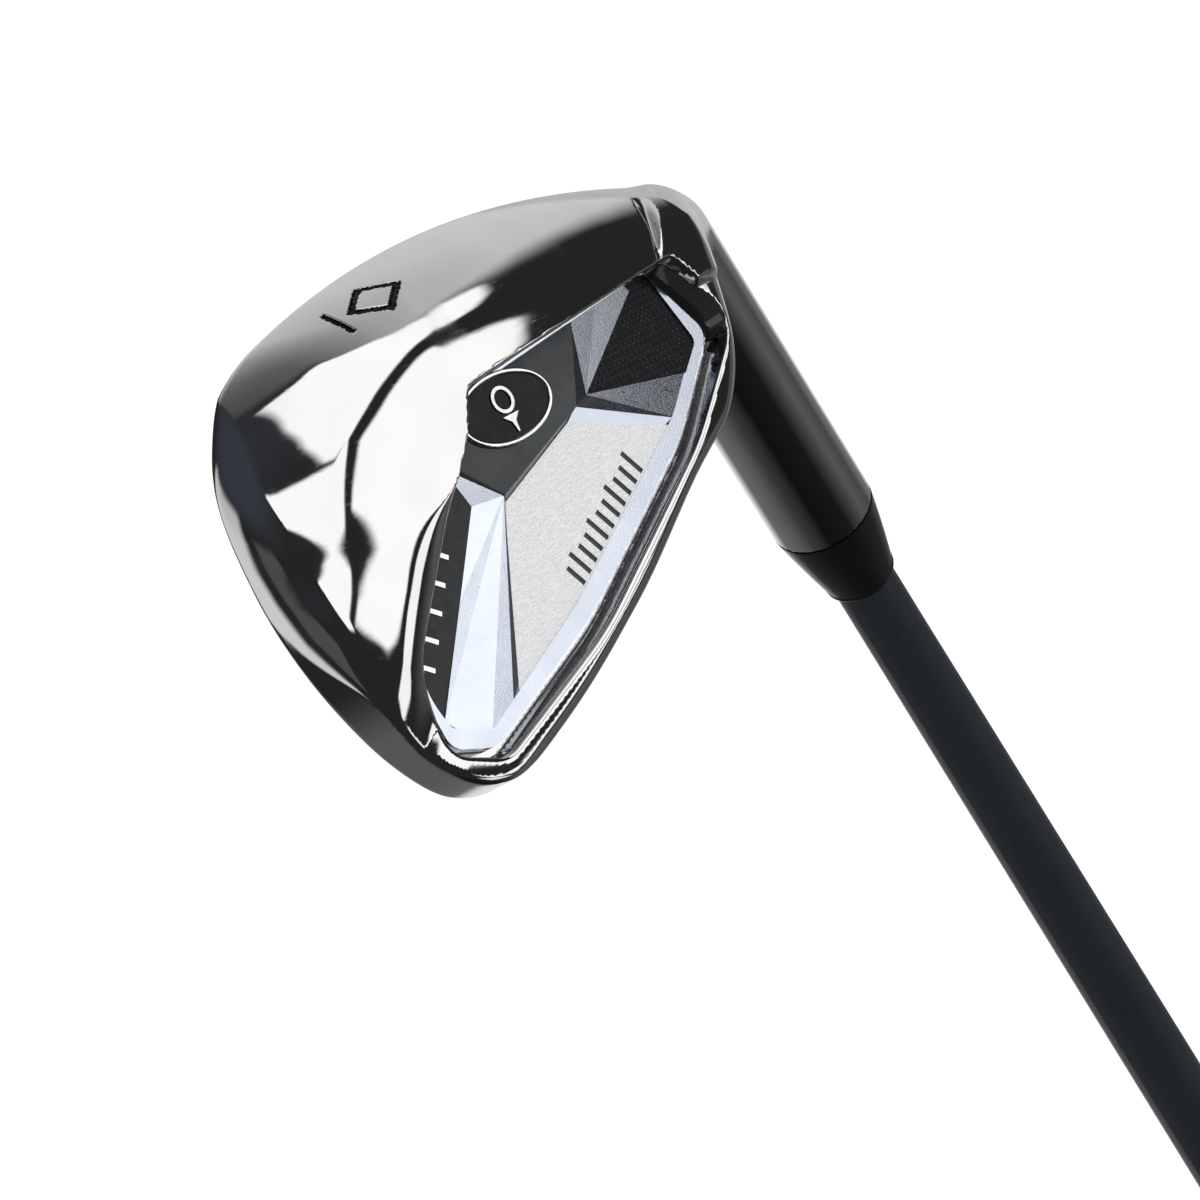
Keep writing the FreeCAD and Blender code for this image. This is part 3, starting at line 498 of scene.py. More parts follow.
def surface_net(xs, ys, zs, field, slab=16):
    """Quads of the zero level of a field on a grid with uneven lines, worked out some slabs at a time."""
    slabs = []
    for i in range(0, len(xs), slab):
        values = field(xs[i:i + slab, None, None], ys[None, :, None], zs[None, None, :])
        slabs.append(values.astype(np.float32))
    values = np.concatenate(slabs)
    inside = values < 0
    nx, ny, nz = (lines - 1 for lines in inside.shape)
    count = np.zeros((nx, ny, nz), np.int8)
    for a, b, c in product((0, 1), repeat=3):
        count += inside[a:nx + a, b:ny + b, c:nz + c]
    cells = np.argwhere((count > 0) & (count < 8))
    index = np.full(count.shape, -1, np.int32)
    index[tuple(cells.T)] = np.arange(len(cells))
    lines = (xs, ys, zs)
    total = np.zeros((len(cells), 3))
    hits = np.zeros(len(cells))
    for axis in range(3):
        others = [k for k in range(3) if k != axis]
        for a, b in product((0, 1), repeat=2):
            start = cells.copy()
            start[:, others[0]] += a
            start[:, others[1]] += b
            end = start.copy()
            end[:, axis] += 1
            v0 = values[tuple(start.T)].astype(float)
            v1 = values[tuple(end.T)].astype(float)
            cross = (v0 < 0) != (v1 < 0)
            t = np.where(cross, v0 / np.where(cross, v0 - v1, 1), 0)
            point = np.stack([lines[k][start[:, k]] for k in range(3)], 1)
            point[:, axis] += t * (lines[axis][end[:, axis]] - lines[axis][start[:, axis]])
            total += np.where(cross[:, None], point, 0)
            hits += cross
    points = total / hits[:, None]
    quads = []
    for axis in range(3):
        u, v = (axis + 1) % 3, (axis + 2) % 3
        low = [slice(None)] * 3
        high = [slice(None)] * 3
        low[axis] = slice(None, -1)
        high[axis] = slice(1, None)
        first = inside[tuple(low)]
        change = first != inside[tuple(high)]
        edges = np.argwhere(change)
        edges = edges[(edges[:, u] > 0) & (edges[:, v] > 0)]
        edges = edges[(edges[:, u] < count.shape[u]) & (edges[:, v] < count.shape[v])]
        corner = []
        for du, dv in ((1, 1), (0, 1), (0, 0), (1, 0)):
            cell = edges.copy()
            cell[:, u] -= du
            cell[:, v] -= dv
            corner.append(index[tuple(cell.T)])
        quad = np.stack(corner, 1)
        outward = first[tuple(edges.T)]
        quads.append(np.where(outward[:, None], quad, quad[:, ::-1]))
    return points, np.concatenate(quads)


def projected(points, rounds=5, longest=0.25, least_slope2=0.05):
    """Moves the points onto the zero level, no further than longest a round, with their unit normals."""
    for _ in range(rounds):
        gradient = head_gradient(points)
        size2 = np.maximum((gradient**2).sum(1), least_slope2)
        step = -(head_field(*points.T) / size2)[:, None] * gradient
        length = np.linalg.norm(step, axis=1, keepdims=True)
        points = points + step * np.minimum(1, longest / np.maximum(length, 1e-9))
    gradient = head_gradient(points)
    return points, gradient / np.maximum(np.linalg.norm(gradient, axis=1, keepdims=True), 1e-9)


def mesh_object(name, points, faces, normals=None):
    """A smooth mesh piece from row-frame metres, with its own normals if they are given."""
    mesh = bpy.data.meshes.new(name)
    mesh.vertices.add(len(points))
    mesh.vertices.foreach_set("co", np.asarray(points, np.float32).ravel())
    faces = np.asarray(faces, np.int32)
    mesh.loops.add(faces.size)
    mesh.loops.foreach_set("vertex_index", faces.ravel())
    mesh.polygons.add(len(faces))
    mesh.polygons.foreach_set("loop_start", np.arange(len(faces), dtype=np.int32) * faces.shape[1])
    mesh.polygons.foreach_set("use_smooth", np.ones(len(faces), bool))
    mesh.update(calc_edges=True)
    mesh.validate()
    if normals is not None:
        mesh.normals_split_custom_set_from_vertices(np.asarray(normals, np.float32).tolist())
    piece = bpy.data.objects.new(name, mesh)
    bpy.context.scene.collection.objects.link(piece)
    return piece


def head_grid():
    """Grid lines along x, s and w. One in w lies half way down the score lines, to cut their walls."""
    cell = CELL
    score_cell = SCORE_PITCH / SCORE_CELLS
    xs = graded(BLADE_GRID_X, GRID_HIGH[0], *FINE_X, FINE_X_SHARE * cell, cell)
    xs = np.concatenate([np.arange(GRID_LOW[0], xs[0] - 0.5 * cell, cell), xs])
    first = SCORE_FIRST - 1.5 * score_cell
    ss = graded(GRID_LOW[1], GRID_HIGH[1], first, FINE_S_HIGH, score_cell, cell)
    half_deep = SCORE_DEPTH / 2
    ws = graded(GRID_LOW[2], GRID_HIGH[2], half_deep - cell, FINE_W_HIGH, FINE_W_SHARE * cell, cell)
    ws = np.sort(np.append(ws[np.abs(ws - half_deep) > 0.1], half_deep))
    return xs, ss, ws


def forged_head():
    """Blade and hosel in one piece."""
    points, faces = surface_net(*head_grid(), head_field)
    points, normals = projected(points)
    return mesh_object("forged_head", to_row(points), faces, normals @ BLADE_AXES)


# ---------------- grip

SHARP_ANGLE = math.radians(35)


def turned_piece(name, rings, segments):
    """Closed tube of (z, radius, relief by angle) rings round z, mm, the last joined to the first."""
    angle = np.linspace(0, 2 * math.pi, segments, endpoint=False)
    points = []
    for z, radius, relief in rings:
        r = radius + relief + 0 * angle
        points.append(np.stack([r * np.cos(angle), r * np.sin(angle), z + 0 * angle], 1))
    count = len(rings)
    i, j = np.meshgrid(np.arange(count), np.arange(segments), indexing="ij")
    next_i = (i + 1) % count
    next_j = (j + 1) % segments
    faces = np.stack([i * segments + j, i * segments + next_j,
                      next_i * segments + next_j, next_i * segments + j], -1)
    piece = mesh_object(name, np.concatenate(points) * MM, faces.reshape(-1, 4))
    piece.data.set_sharp_from_angle(angle=SHARP_ANGLE)
    return piece


GRIP_SEGMENTS = 144
# Share of the length from the cap, and share of the widest radius.
GRIP_RADII = [(0.0, 0.992), (0.017, 1.0), (0.097, 0.932), (0.21, 0.902), (0.40, 0.872), (0.666, 0.774),
              (0.894, 0.692), (1.0, 0.647)]
SHAFT_BORE = 7.65  # inside of the grip on the shaft, and on its tape
TAPE_BORE = 7.85
GRIP_ROW = 0.85  # length of one row of the grip's mesh, mm
GRIP_MOUTH_ROUND = 0.9  # the mouth is drawn in by this much over this length
GRIP_MOUTH_LENGTH = 1.2
GRIP_PLAIN = 14.0  # plain rubber at each end of the pattern
GRIP_FADE = 2.0  # length over which the pattern comes in
GRIP_DIAMONDS = 18  # round the grip
GRIP_DIAMOND_LENGTH = 5.2
GRIP_CUT_DEPTH = 0.32
GRIP_CUT_HALF = 0.13  # half width of a cut, as a share of its pitch
GRIP_BAND_FIRST = 90.0  # the smooth grooves that part the pattern, as in the CAD grip
GRIP_BAND_COUNT = 6
GRIP_BAND_PITCH = 30.0
GRIP_BAND_DEPTH = 0.5
GRIP_BAND_HALF = 1.2
GRIP_BAND_PLAIN = 2.0  # no pattern this near the middle of a groove
GRIP_BAND_FADE = 0.8


def grip_relief(z, angle, low, high):
    """Depth of the diamond cuts and ring grooves at one z, mm, negative inwards."""
    around = angle / (2 * math.pi) * GRIP_DIAMONDS
    along = z / GRIP_DIAMOND_LENGTH
    total = np.zeros_like(angle)
    for turn in (1, -1):
        phase = (around + turn * along) % 1.0
        gap = np.minimum(phase, 1 - phase)
        total = np.maximum(total, np.clip(1 - gap / GRIP_CUT_HALF, 0, 1))
    inside = min(z - low - GRIP_PLAIN, high - GRIP_PLAIN - z)
    fade = min(1.0, max(0.0, inside / GRIP_FADE))
    bands = GRIP_BAND_FIRST + GRIP_BAND_PITCH * np.arange(GRIP_BAND_COUNT)
    gap = np.abs(bands - z).min()
    fade *= min(1.0, max(0.0, (gap - GRIP_BAND_PLAIN) / GRIP_BAND_FADE))
    groove = GRIP_BAND_DEPTH * max(0.0, 1 - (gap / GRIP_BAND_HALF) ** 2)
    return -(GRIP_CUT_DEPTH * fade * total + groove)


def moulded_grip():
    """Rubber grip with cut diamonds and smooth ring grooves, bored for the shaft and its tape."""
    low, high = row_span("grip_sleeve")
    mouth = row_span("grip_tape")[1]
    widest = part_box("grip_sleeve")[1].x / MM
    profile_z = [low + share * (high - low) for share, _ in GRIP_RADII]
    profile_r = [share * widest for _, share in GRIP_RADII]
    angle = np.linspace(0, 2 * math.pi, GRIP_SEGMENTS, endpoint=False)
    rows = int((high - low) / GRIP_ROW)
    rings = []
    for z in np.linspace(low, high, rows):
        radius = float(np.interp(z, profile_z, profile_r))
        end = max(0.0, 1 - (high - z) / GRIP_MOUTH_LENGTH)
        rings.append((z, radius - GRIP_MOUTH_ROUND * end * end, grip_relief(z, angle, low, high)))
    inner = [(high, SHAFT_BORE), (mouth, SHAFT_BORE), (mouth, TAPE_BORE), (low, TAPE_BORE)]
    rings += [(z, radius, 0.0) for z, radius in inner]
    return turned_piece("moulded_grip", rings, GRIP_SEGMENTS)


# ---------------- shader helpers

NOISE_SPAN = (0.3, 0.7)  # nearly all of a noise's values lie in this span


class Graph:
    """Short way to write shader nodes. Most methods return the new node's output socket."""

    def __init__(self, tree):
        self.tree = tree

    def node(self, kind, inputs=None, output=0, **settings):
        made = self.tree.nodes.new(kind)
        for key, value in settings.items():
            setattr(made, key, value)
        for key, value in (inputs or {}).items():
            self.feed(made.inputs[key], value)
        return made.outputs[output] if made.outputs else None

    def feed(self, socket, value):
        if isinstance(value, bpy.types.NodeSocket):
            self.tree.links.new(value, socket)
        else:
            socket.default_value = value

    def math(self, operation, a, b=0.0, c=0.0):
        return self.node("ShaderNodeMath", {0: a, 1: b, 2: c}, operation=operation)

    def plus(self, a, b):
        return self.math("ADD", a, b)

    def minus(self, a, b):
        return self.math("SUBTRACT", a, b)

    def times(self, a, b):
        return self.math("MULTIPLY", a, b)

    def ramp(self, value, start, end, low=0.0, high=1.0, smooth=True):
        """low at start, high at end, and between them in between."""
        kind = "SMOOTHSTEP" if smooth else "LINEAR"
        inputs = {"Value": value, "From Min": start, "From Max": end, "To Min": low, "To Max": high}
        return self.node("ShaderNodeMapRange", inputs, interpolation_type=kind)

    def spread(self, noise, low, high):
        """A value from low to high that follows a noise."""
        return self.ramp(noise, *NOISE_SPAN, low, high)

    def mix(self, share, a, b):
        """Colour a at share 0, b at share 1."""
        return self.node("ShaderNodeMix", {0: share, 6: a, 7: b}, output=2, data_type="RGBA")

    def colour_ramp(self, value, stops):
        made = self.tree.nodes.new("ShaderNodeValToRGB")
        ramp = made.color_ramp
        while len(ramp.elements) < len(stops):
            ramp.elements.new(0.5)
        for element, (place, colour) in zip(ramp.elements, stops):
            element.position = place
            element.color = colour
        self.feed(made.inputs[0], value)
        return made.outputs[0]

    def noise(self, size, detail=3.0, roughness=0.55, distortion=0.0, stretch=None):
        """Noise around 0.5, its coarsest features about this size in mm, longer where stretch is small."""
        place = self.place
        if stretch:
            place = self.node("ShaderNodeVectorMath", {0: place, 1: stretch}, operation="MULTIPLY")
        return self.node("ShaderNodeTexNoise", {"Vector": place, "Scale": 1.0 / size, "Detail": detail,
                                                "Roughness": roughness, "Distortion": distortion})

    def dot(self, vector, axis):
        inputs = {0: vector, 1: tuple(axis)}
        return self.node("ShaderNodeVectorMath", inputs, output="Value", operation="DOT_PRODUCT")

    def parts(self, vector):
        return tuple(self.node("ShaderNodeSeparateXYZ", {0: vector}).node.outputs)

    def row_place(self):
        """Row-frame position in mm."""
        place = self.node("ShaderNodeTexCoord", output="Object")
        return self.node("ShaderNodeVectorMath", {0: place, "Scale": 1 / MM}, operation="SCALE")

    def blade_place(self):
        """Blade-frame position in mm."""
        place = self.node("ShaderNodeTexCoord", output="Object")
        local = self.node("ShaderNodeVectorMath", {0: place, 1: tuple(BLADE_ORIGIN)}, operation="SUBTRACT")
        axes = [self.dot(local, BLADE_AXES[k] / MM) for k in range(3)]
        return self.node("ShaderNodeCombineXYZ", {0: axes[0], 1: axes[1], 2: axes[2]})

    def bump(self, height, depth, normal=None):
        """Bump from a 0 to 1 height that is depth mm tall."""
        inputs = {"Height": height, "Distance": depth * MM, "Strength": 1.0}
        if normal is not None:
            inputs["Normal"] = normal
        return self.node("ShaderNodeBump", inputs)


def new_material(name, place=Graph.blade_place):
    """The graph of a new material, whose noises are placed in the blade frame or the row frame."""
    material = bpy.data.materials.new(name)
    material.use_nodes = True
    material.node_tree.nodes.clear()
    graph = Graph(material.node_tree)
    graph.material = material
    if place:
        graph.place = place(graph)
    return graph


def finished(graph, **inputs):
    """The material with these Principled inputs; spaces in their names are written as underscores."""
    named = {key.replace("_", " "): value for key, value in inputs.items()}
    shader = graph.node("ShaderNodeBsdfPrincipled", named)
    graph.node("ShaderNodeOutputMaterial", {"Surface": shader})
    return graph.material


def grey(level):
    return (level, level, level, 1.0)


# ---------------- materials


def engraved_mark(g):
    """The diamond and bar of index_mark_field as shader nodes: negative in and round the lines, where shade
    is painted.
    """
    x, s, w = g.parts(g.place)
    back = g.plus(g.times(s, SIN_LOFT), g.times(w, COS_LOFT))
    shares = []
    for value, centre, half in zip((x, back), INDEX_CENTRE, INDEX_HALF_SIZE):
        shares.append(g.math("ABSOLUTE", g.math("MULTIPLY_ADD", value, 1 / half, -centre / half)))
    ring = g.math("ABSOLUTE", g.minus(g.plus(*shares), 1.0))
    diamond = g.times(ring, INDEX_DIAMOND_SCALE)
    bar_along = g.math("ABSOLUTE", g.minus(x, INDEX_CENTRE[0] + INDEX_BAR_PLACE))
    bar_across = g.math("ABSOLUTE", g.minus(back, INDEX_CENTRE[1]))
    bar = g.math("MAXIMUM", bar_along, g.minus(bar_across, INDEX_BAR_HALF))
    height = g.minus(g.times(s, COS_LOFT), g.times(w, SIN_LOFT))
    lines = g.minus(g.math("MINIMUM", diamond, bar), INDEX_LINE_HALF)
    return g.math("MAXIMUM", lines, g.minus(height, INDEX_TOP))


def polished_nickel():
    """Dark nickel plating over hand-polished steel: faint waves, fine scratches, a few smears, and painted
    shade in the engraved mark.
    """
    g = new_material("polished_nickel")
    waves = g.noise(9.0, 1.0)
    scratches = g.noise(0.22, 2.0, stretch=(0.12, 1.0, 0.5))
    fine_scratch = g.ramp(scratches, 0.60, 0.72)
    smears = g.noise(14.0, 4.0, 0.6, 0.6)
    smear = g.ramp(smears, 0.52, 0.75)
    rough = g.plus(g.times(fine_scratch, 0.05), g.times(smear, 0.07))
    rough = g.plus(rough, 0.035)
    colour = g.mix(waves, (0.60, 0.595, 0.60, 1), (0.68, 0.675, 0.665, 1))
    # Painted shade: near-black colour, and rougher metal, in and round the engraved lines of the index mark.
    mark = engraved_mark(g)
    paint = g.ramp(mark, 0.05, -0.12)
    colour = g.mix(paint, colour, (0.015, 0.015, 0.016, 1))
    rough = g.plus(rough, g.times(paint, 0.3))
    normal = g.bump(waves, 0.035)
    normal = g.bump(scratches, 0.0006, normal)
    normal = g.bump(g.ramp(mark, -0.2, 0.15), 0.08, normal)
    return finished(g, Base_Color=colour, Metallic=1.0, Roughness=rough, Normal=normal)


def badge_chrome():
    """Bluish plated carrier with a slight moulding texture."""
    g = new_material("badge_chrome")
    cloud = g.noise(6.0, 4.0)
    fine = g.noise(0.12, 2.0, stretch=(0.4, 1.0, 1.0))
    colour = g.mix(cloud, (0.52, 0.56, 0.65, 1), (0.70, 0.74, 0.81, 1))
    rough = g.spread(fine, 0.07, 0.15)
    normal = g.bump(fine, 0.004)
    return finished(g, Base_Color=colour, Metallic=1.0, Roughness=rough, Normal=normal)


def grained_silver():
    """Silver plate, brushed along its length, with dark paint in the engraved marks."""
    g = new_material("grained_silver")
    level = g.parts(g.place)[2]
    top = top_level("badge_plate")
    brushed = g.noise(0.16, 3.0, 0.7, stretch=(0.10, 1.0, 1.0))
    grain = g.noise(0.22, 2.0, 0.7)
    mixed = g.plus(g.times(brushed, 0.45), g.times(grain, 0.55))
    colour = g.mix(g.ramp(mixed, 0.35, 0.65), (0.62, 0.63, 0.64, 1), (0.97, 0.97, 0.98, 1))
    paint = g.ramp(level, top - 0.06, top - 0.12)
    colour = g.mix(paint, colour, (0.035, 0.04, 0.045, 1))
    metal = g.minus(0.62, g.times(paint, 0.5))
    rough = g.spread(mixed, 0.34, 0.5)
    return finished(g, Base_Color=colour, Metallic=metal, Roughness=rough, Normal=g.bump(mixed, 0.02))


def charcoal_satin():
    """Charcoal bridge, fine-brushed, with a highlight painted along its chamfered edge."""
    g = new_material("charcoal_satin")
    level = g.parts(g.place)[2]
    brushed = g.noise(0.14, 3.0, 0.7, stretch=(1.0, 0.08, 1.0))
    cloud = g.noise(5.0, 3.0)
    colour = g.mix(brushed, (0.055, 0.06, 0.063, 1), (0.11, 0.115, 0.12, 1))
    top = top_level("badge_bridge")
    # Painted highlight: light grey on the chamfer just under the bridge's top.
    painted_chamfer_highlight = g.ramp(level, top - 0.02, top - 0.06)
    colour = g.mix(g.times(painted_chamfer_highlight, 0.7), colour, (0.42, 0.44, 0.46, 1))
    rough = g.spread(cloud, 0.34, 0.46)
    return finished(g, Base_Color=colour, Metallic=0.85, Roughness=rough, Normal=g.bump(brushed, 0.006))


WEAVE_TURNS = 3.6  # radians a mm, of the weave and of the dots
DOT_TURNS = 7.4


def woven_black():
    """Gloss black insert over a weave, with rows of tiny light dots."""
    g = new_material("woven_black")
    x, s, _ = g.parts(g.place)
    along = g.times(x, WEAVE_TURNS)
    across = g.times(s, WEAVE_TURNS)
    threads = [g.math("SINE", g.math(way, along, across)) for way in ("ADD", "SUBTRACT")]
    weave = g.ramp(g.times(*threads), -1, 1)
    rows = [g.math("SINE", g.times(value, DOT_TURNS)) for value in (x, s)]
    dot = g.ramp(g.times(*rows), 0.93, 0.97)
    dust = g.noise(1.3, 3.0)
    colour = g.mix(weave, (0.004, 0.004, 0.005, 1), (0.009, 0.009, 0.011, 1))
    colour = g.mix(g.times(dot, g.ramp(dust, 0.4, 0.7)), colour, (0.22, 0.23, 0.26, 1))
    return finished(g, Base_Color=colour, Roughness=g.spread(dust, 0.22, 0.32), Specular_IOR_Level=0.1,
                    Normal=g.bump(weave, 0.006))


def dark_brushed():
    """Dark toe insert with a line grain; its raised marks are white on top."""
    g = new_material("dark_brushed")
    level = g.parts(g.place)[2]
    brushed = g.noise(0.2, 3.0, 0.7, stretch=(0.08, 1.0, 1.0))
    dust = g.noise(1.0, 3.0)
    colour = g.mix(brushed, (0.012, 0.013, 0.015, 1), (0.04, 0.042, 0.045, 1))
    top = top_level("toe_insert")
    paint = g.ramp(level, top - 0.07, top - 0.04)
    colour = g.mix(paint, colour, (0.86, 0.87, 0.88, 1))
    rough = g.spread(dust, 0.3, 0.42)
    metal = g.times(g.minus(1.0, paint), 0.5)
    return finished(g, Base_Color=colour, Metallic=metal, Roughness=rough, Normal=g.bump(brushed, 0.01))


def plain_metal(name, low, high, rough_low, rough_high, size=0.3):
    """Bright or coloured metal with fine wear."""
    g = new_material(name)
    cloud = g.noise(size * 12, 4.0)
    fine = g.noise(size, 3.0)
    return finished(g, Base_Color=g.mix(cloud, low, high), Metallic=1.0,
                    Roughness=g.spread(fine, rough_low, rough_high), Normal=g.bump(fine, 0.003))


def black_enamel():
    """Glossy black enamel, faintly rippled, with a few specks."""
    g = new_material("black_enamel")
    ripple = g.noise(2.5, 2.0)
    specks = g.noise(0.2, 2.0)
    colour = g.mix(g.ramp(specks, 0.6, 0.8), (0.004, 0.004, 0.005, 1), (0.02, 0.02, 0.022, 1))
    return finished(g, Base_Color=colour, Roughness=g.spread(ripple, 0.08, 0.16), Specular_IOR_Level=0.15,
                    Normal=g.bump(ripple, 0.01))


def soft_dark(name, low, high, rough, grain_size, grain_depth, specular=0.5, sheen=0.0):
    """Rubber, plastic or paint: cloudy colour, fine grain and a few pale specks."""
    g = new_material(name, Graph.row_place)
    cloud = g.noise(24.0, 4.0)
    grain = g.noise(grain_size, 3.0, 0.6)
    specks = g.noise(0.5, 1.0)
    colour = g.mix(cloud, low, high)
    colour = g.mix(g.times(g.ramp(specks, 0.76, 0.82), 0.12), colour, (0.25, 0.26, 0.28, 1))
    roughness = g.plus(rough - 0.06, g.times(grain, 0.12))
    return finished(g, Base_Color=colour, Roughness=roughness, Specular_IOR_Level=specular,
                    Sheen_Weight=sheen, Normal=g.bump(grain, grain_depth))


def foam():
    """Grey closed-cell tape."""
    g = new_material("foam")
    cells = g.node("ShaderNodeTexVoronoi", {"Vector": g.place, "Scale": 3.0})
    colour = g.mix(cells, (0.30, 0.30, 0.31, 1), (0.46, 0.46, 0.47, 1))
    return finished(g, Base_Color=colour, Roughness=0.85, Normal=g.bump(cells, 0.08))


def cured_epoxy():
    """Amber adhesive with small bubbles."""
    g = new_material("cured_epoxy", Graph.row_place)
    bubbles = g.node("ShaderNodeTexVoronoi", {"Vector": g.place, "Scale": 1.6})
    cloud = g.noise(3.0, 3.0)
    return finished(g, Base_Color=g.mix(cloud, (0.35, 0.22, 0.07, 1), (0.52, 0.36, 0.14, 1)),
                    Roughness=g.spread(cloud, 0.2, 0.35), Normal=g.bump(bubbles, 0.04))


def masking_tape():
    """Pale crepe tape, wrinkled round the shaft."""
    g = new_material("masking_tape", Graph.row_place)
    wrinkles = g.noise(0.8, 4.0, stretch=(0.3, 0.3, 1.0))
    cloud = g.noise(12.0, 3.0)
    return finished(g, Base_Color=g.mix(cloud, (0.62, 0.55, 0.40, 1), (0.74, 0.68, 0.52, 1)),
                    Roughness=g.spread(wrinkles, 0.6, 0.75), Normal=g.bump(wrinkles, 0.08))


def dress_cad_nodes():
    """Gives every CAD node that stays its own finish."""
    finishes = {
        "badge_base": badge_chrome(),
        "badge_plate": grained_silver(),
        "badge_bridge": charcoal_satin(),
        "heel_insert": woven_black(),
        "toe_insert": dark_brushed(),
        "emblem_ring": plain_metal("ring_chrome", (0.74, 0.75, 0.77, 1), (0.86, 0.87, 0.88, 1),
                                   rough_low=0.06, rough_high=0.14),
        "emblem_mark": plain_metal("mark_chrome", (0.78, 0.79, 0.80, 1), (0.90, 0.90, 0.91, 1),
                                   rough_low=0.14, rough_high=0.24),
        "emblem_disc": black_enamel(),
        "badge_tape": foam(),
        "hosel_epoxy": cured_epoxy(),
        "tip_weight": plain_metal("turned_brass", (0.72, 0.52, 0.22, 1), (0.82, 0.64, 0.32, 1),
                                  rough_low=0.18, rough_high=0.32, size=0.5),
        "ferrule": soft_dark("ferrule_gloss", (0.003, 0.003, 0.004, 1), (0.006, 0.006, 0.007, 1),
                             rough=0.20, grain_size=3.0, grain_depth=0.001, specular=0.25),
        "shaft": soft_dark("shaft_satin", (0.009, 0.012, 0.017, 1), (0.013, 0.016, 0.022, 1),
                           rough=0.40, grain_size=0.35, grain_depth=0.004, specular=0.4),
        "grip_tape": masking_tape(),
        "grip_cap": soft_dark("cap_rubber", (0.012, 0.012, 0.013, 1), (0.03, 0.03, 0.032, 1),
                              rough=0.6, grain_size=0.5, grain_depth=0.03),
    }
    for node, material in finishes.items():
        mesh = frame["nodes"][node].data
        mesh.materials.clear()
        mesh.materials.append(material)


def stand_for(piece, node, material):
    """Lets a piece take the place of a CAD node."""
    piece.data.materials.append(material)
    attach(piece, "root")
    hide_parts(node)


def build_pieces():
    """The two pieces that stand for CAD nodes, and the finishes of the rest."""
    stand_for(forged_head(), "head_body", polished_nickel())
    rubber = soft_dark("grip_rubber", (0.010, 0.010, 0.011, 1), (0.026, 0.026, 0.028, 1),
                       rough=0.62, grain_size=0.35, grain_depth=0.03, specular=0.35, sheen=0.15)
    stand_for(moulded_grip(), "grip_sleeve", rubber)
    dress_cad_nodes()


# ---------------- stage

VIEW_AZIMUTH = math.radians(146.85)
VIEW_ELEVATION = math.radians(40.13)
VIEW_ROLL = math.radians(33.43)
VIEW_DISTANCE = 0.7879
VIEW_LENS = 193.85
SENSOR_WIDTH = 36
AIM_SHARE = (0.587, 0.653, 0.461)  # the aim point in the head's box


def place_camera():
    """Looks at the back of the head from above its toe, as a hand-held club is photographed."""
    low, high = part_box("head_body")
    aim = Vector([low[k] + AIM_SHARE[k] * (high[k] - low[k]) for k in range(3)])
    flat = math.cos(VIEW_ELEVATION)
    back = Vector((math.sin(VIEW_AZIMUTH) * flat, -math.cos(VIEW_AZIMUTH) * flat, math.sin(VIEW_ELEVATION)))
    level_right = Vector((0, 0, 1)).cross(back).normalized()
    level_up = back.cross(level_right)
    up = level_up * math.cos(VIEW_ROLL) + level_right * math.sin(VIEW_ROLL)
    right = up.cross(back)
    camera = bpy.data.objects.new("camera", bpy.data.cameras.new("camera"))
    camera.data.lens = VIEW_LENS
    camera.data.sensor_width = SENSOR_WIDTH
    place = aim + back * VIEW_DISTANCE
    rows = [[right[k], up[k], back[k], place[k]] for k in range(3)]
    camera.matrix_world = Matrix(rows + [[0, 0, 0, 1]])
    bpy.context.scene.collection.objects.link(camera)
    bpy.context.scene.camera = camera


# The studio seen in the polish, in degrees. Azimuth 0 looks to the heel side (-X), 90 behind the head (+Y).
# A window has its (azimuth, elevation) corners, counter-clockwise, the width of its soft edge, and its light
# at WINDOW_RISE above its lowest corner and at its highest. One less tall than that shows just the second.
WINDOW_RISE = 30
STUDIO_WINDOWS = {
    "backdrop": ([(-64, -24), (-32, -15), (2, 18), (8, 40), (-6, 62), (-66, 56)], 7, 0.80, 0.10),
    "heel_box": ([(-62, -42), (-26, -42), (-12, -30), (-30, -12), (-62, -12)], 5, 0.6, 0.6),
    "low_strip": ([(3, 18), (17, 17), (50, 38.5), (54, 50), (46, 55), (30, 59), (3, 59.5)], 2, 1.5, 1.45),
    "high_box": ([(49, 38), (56, 34.5), (66, 30), (77, 38), (77, 52), (70, 63), (64, 60), (56, 50)],
                 2, 1.5, 1.5),
    "main_box": ([(29, 6), (38, -1.5), (46, -3), (53, 2), (60.5, 14), (61.5, 28), (50, 31), (28, 17)],
                 2, 1.5, 1.5),
    "rim_strip": ([(39.5, -16), (52, -16), (61, -11), (61, -3), (39.5, -8.5)], 1.5, 1.4, 1.4),
    "wedge_card": ([(62, -27), (77, -27), (77, -13), (62, -13)], 3, 1.2, 1.2),
    "far_card": ([(148, 26), (178, 28), (178, 50), (150, 52)], 6, 0.10, 0.10),
    "front_box": ([(-168, -5), (-112, -5), (-112, 60), (-168, 60)], 10, 0.9, 0.7),
}
STUDIO_DARK = (0.026, 0.026, 0.027, 1)
STUDIO_ZENITH = (0.050, 0.058, 0.074, 1)
ZENITH_SPAN = (50, 75)  # elevations from the dark to the zenith's colour, and to the ground levels
GROUND_SPAN = (-18, -30)
# Light low down, where the hosel mirrors: azimuth and level.
GROUND_LEVELS = [(-180, 0.06), (-160, 0.12), (-140, 0.165), (-110, 0.2), (-90, 0.7), (-80, 0.9), (-62, 0.9),
                 (-35, 0.25), (-4, 0.19), (14, 0.09), (45, 0.14), (67, 0.07), (90, 0.014), (145, 0.008),
                 (164, 0.04), (180, 0.06)]
FILL_STRENGTH = 1.05  # light of the white room on matt surfaces
FLOOR_HALF_SIZE = 40.0  # metres, so that its edge is far off
FLOOR_GREY = 0.95
KEY_OFFSET = (-0.9, 1.2, 1.1)  # from the middle of the head, metres
KEY_SIZE = 1.4
KEY_POWER = 18


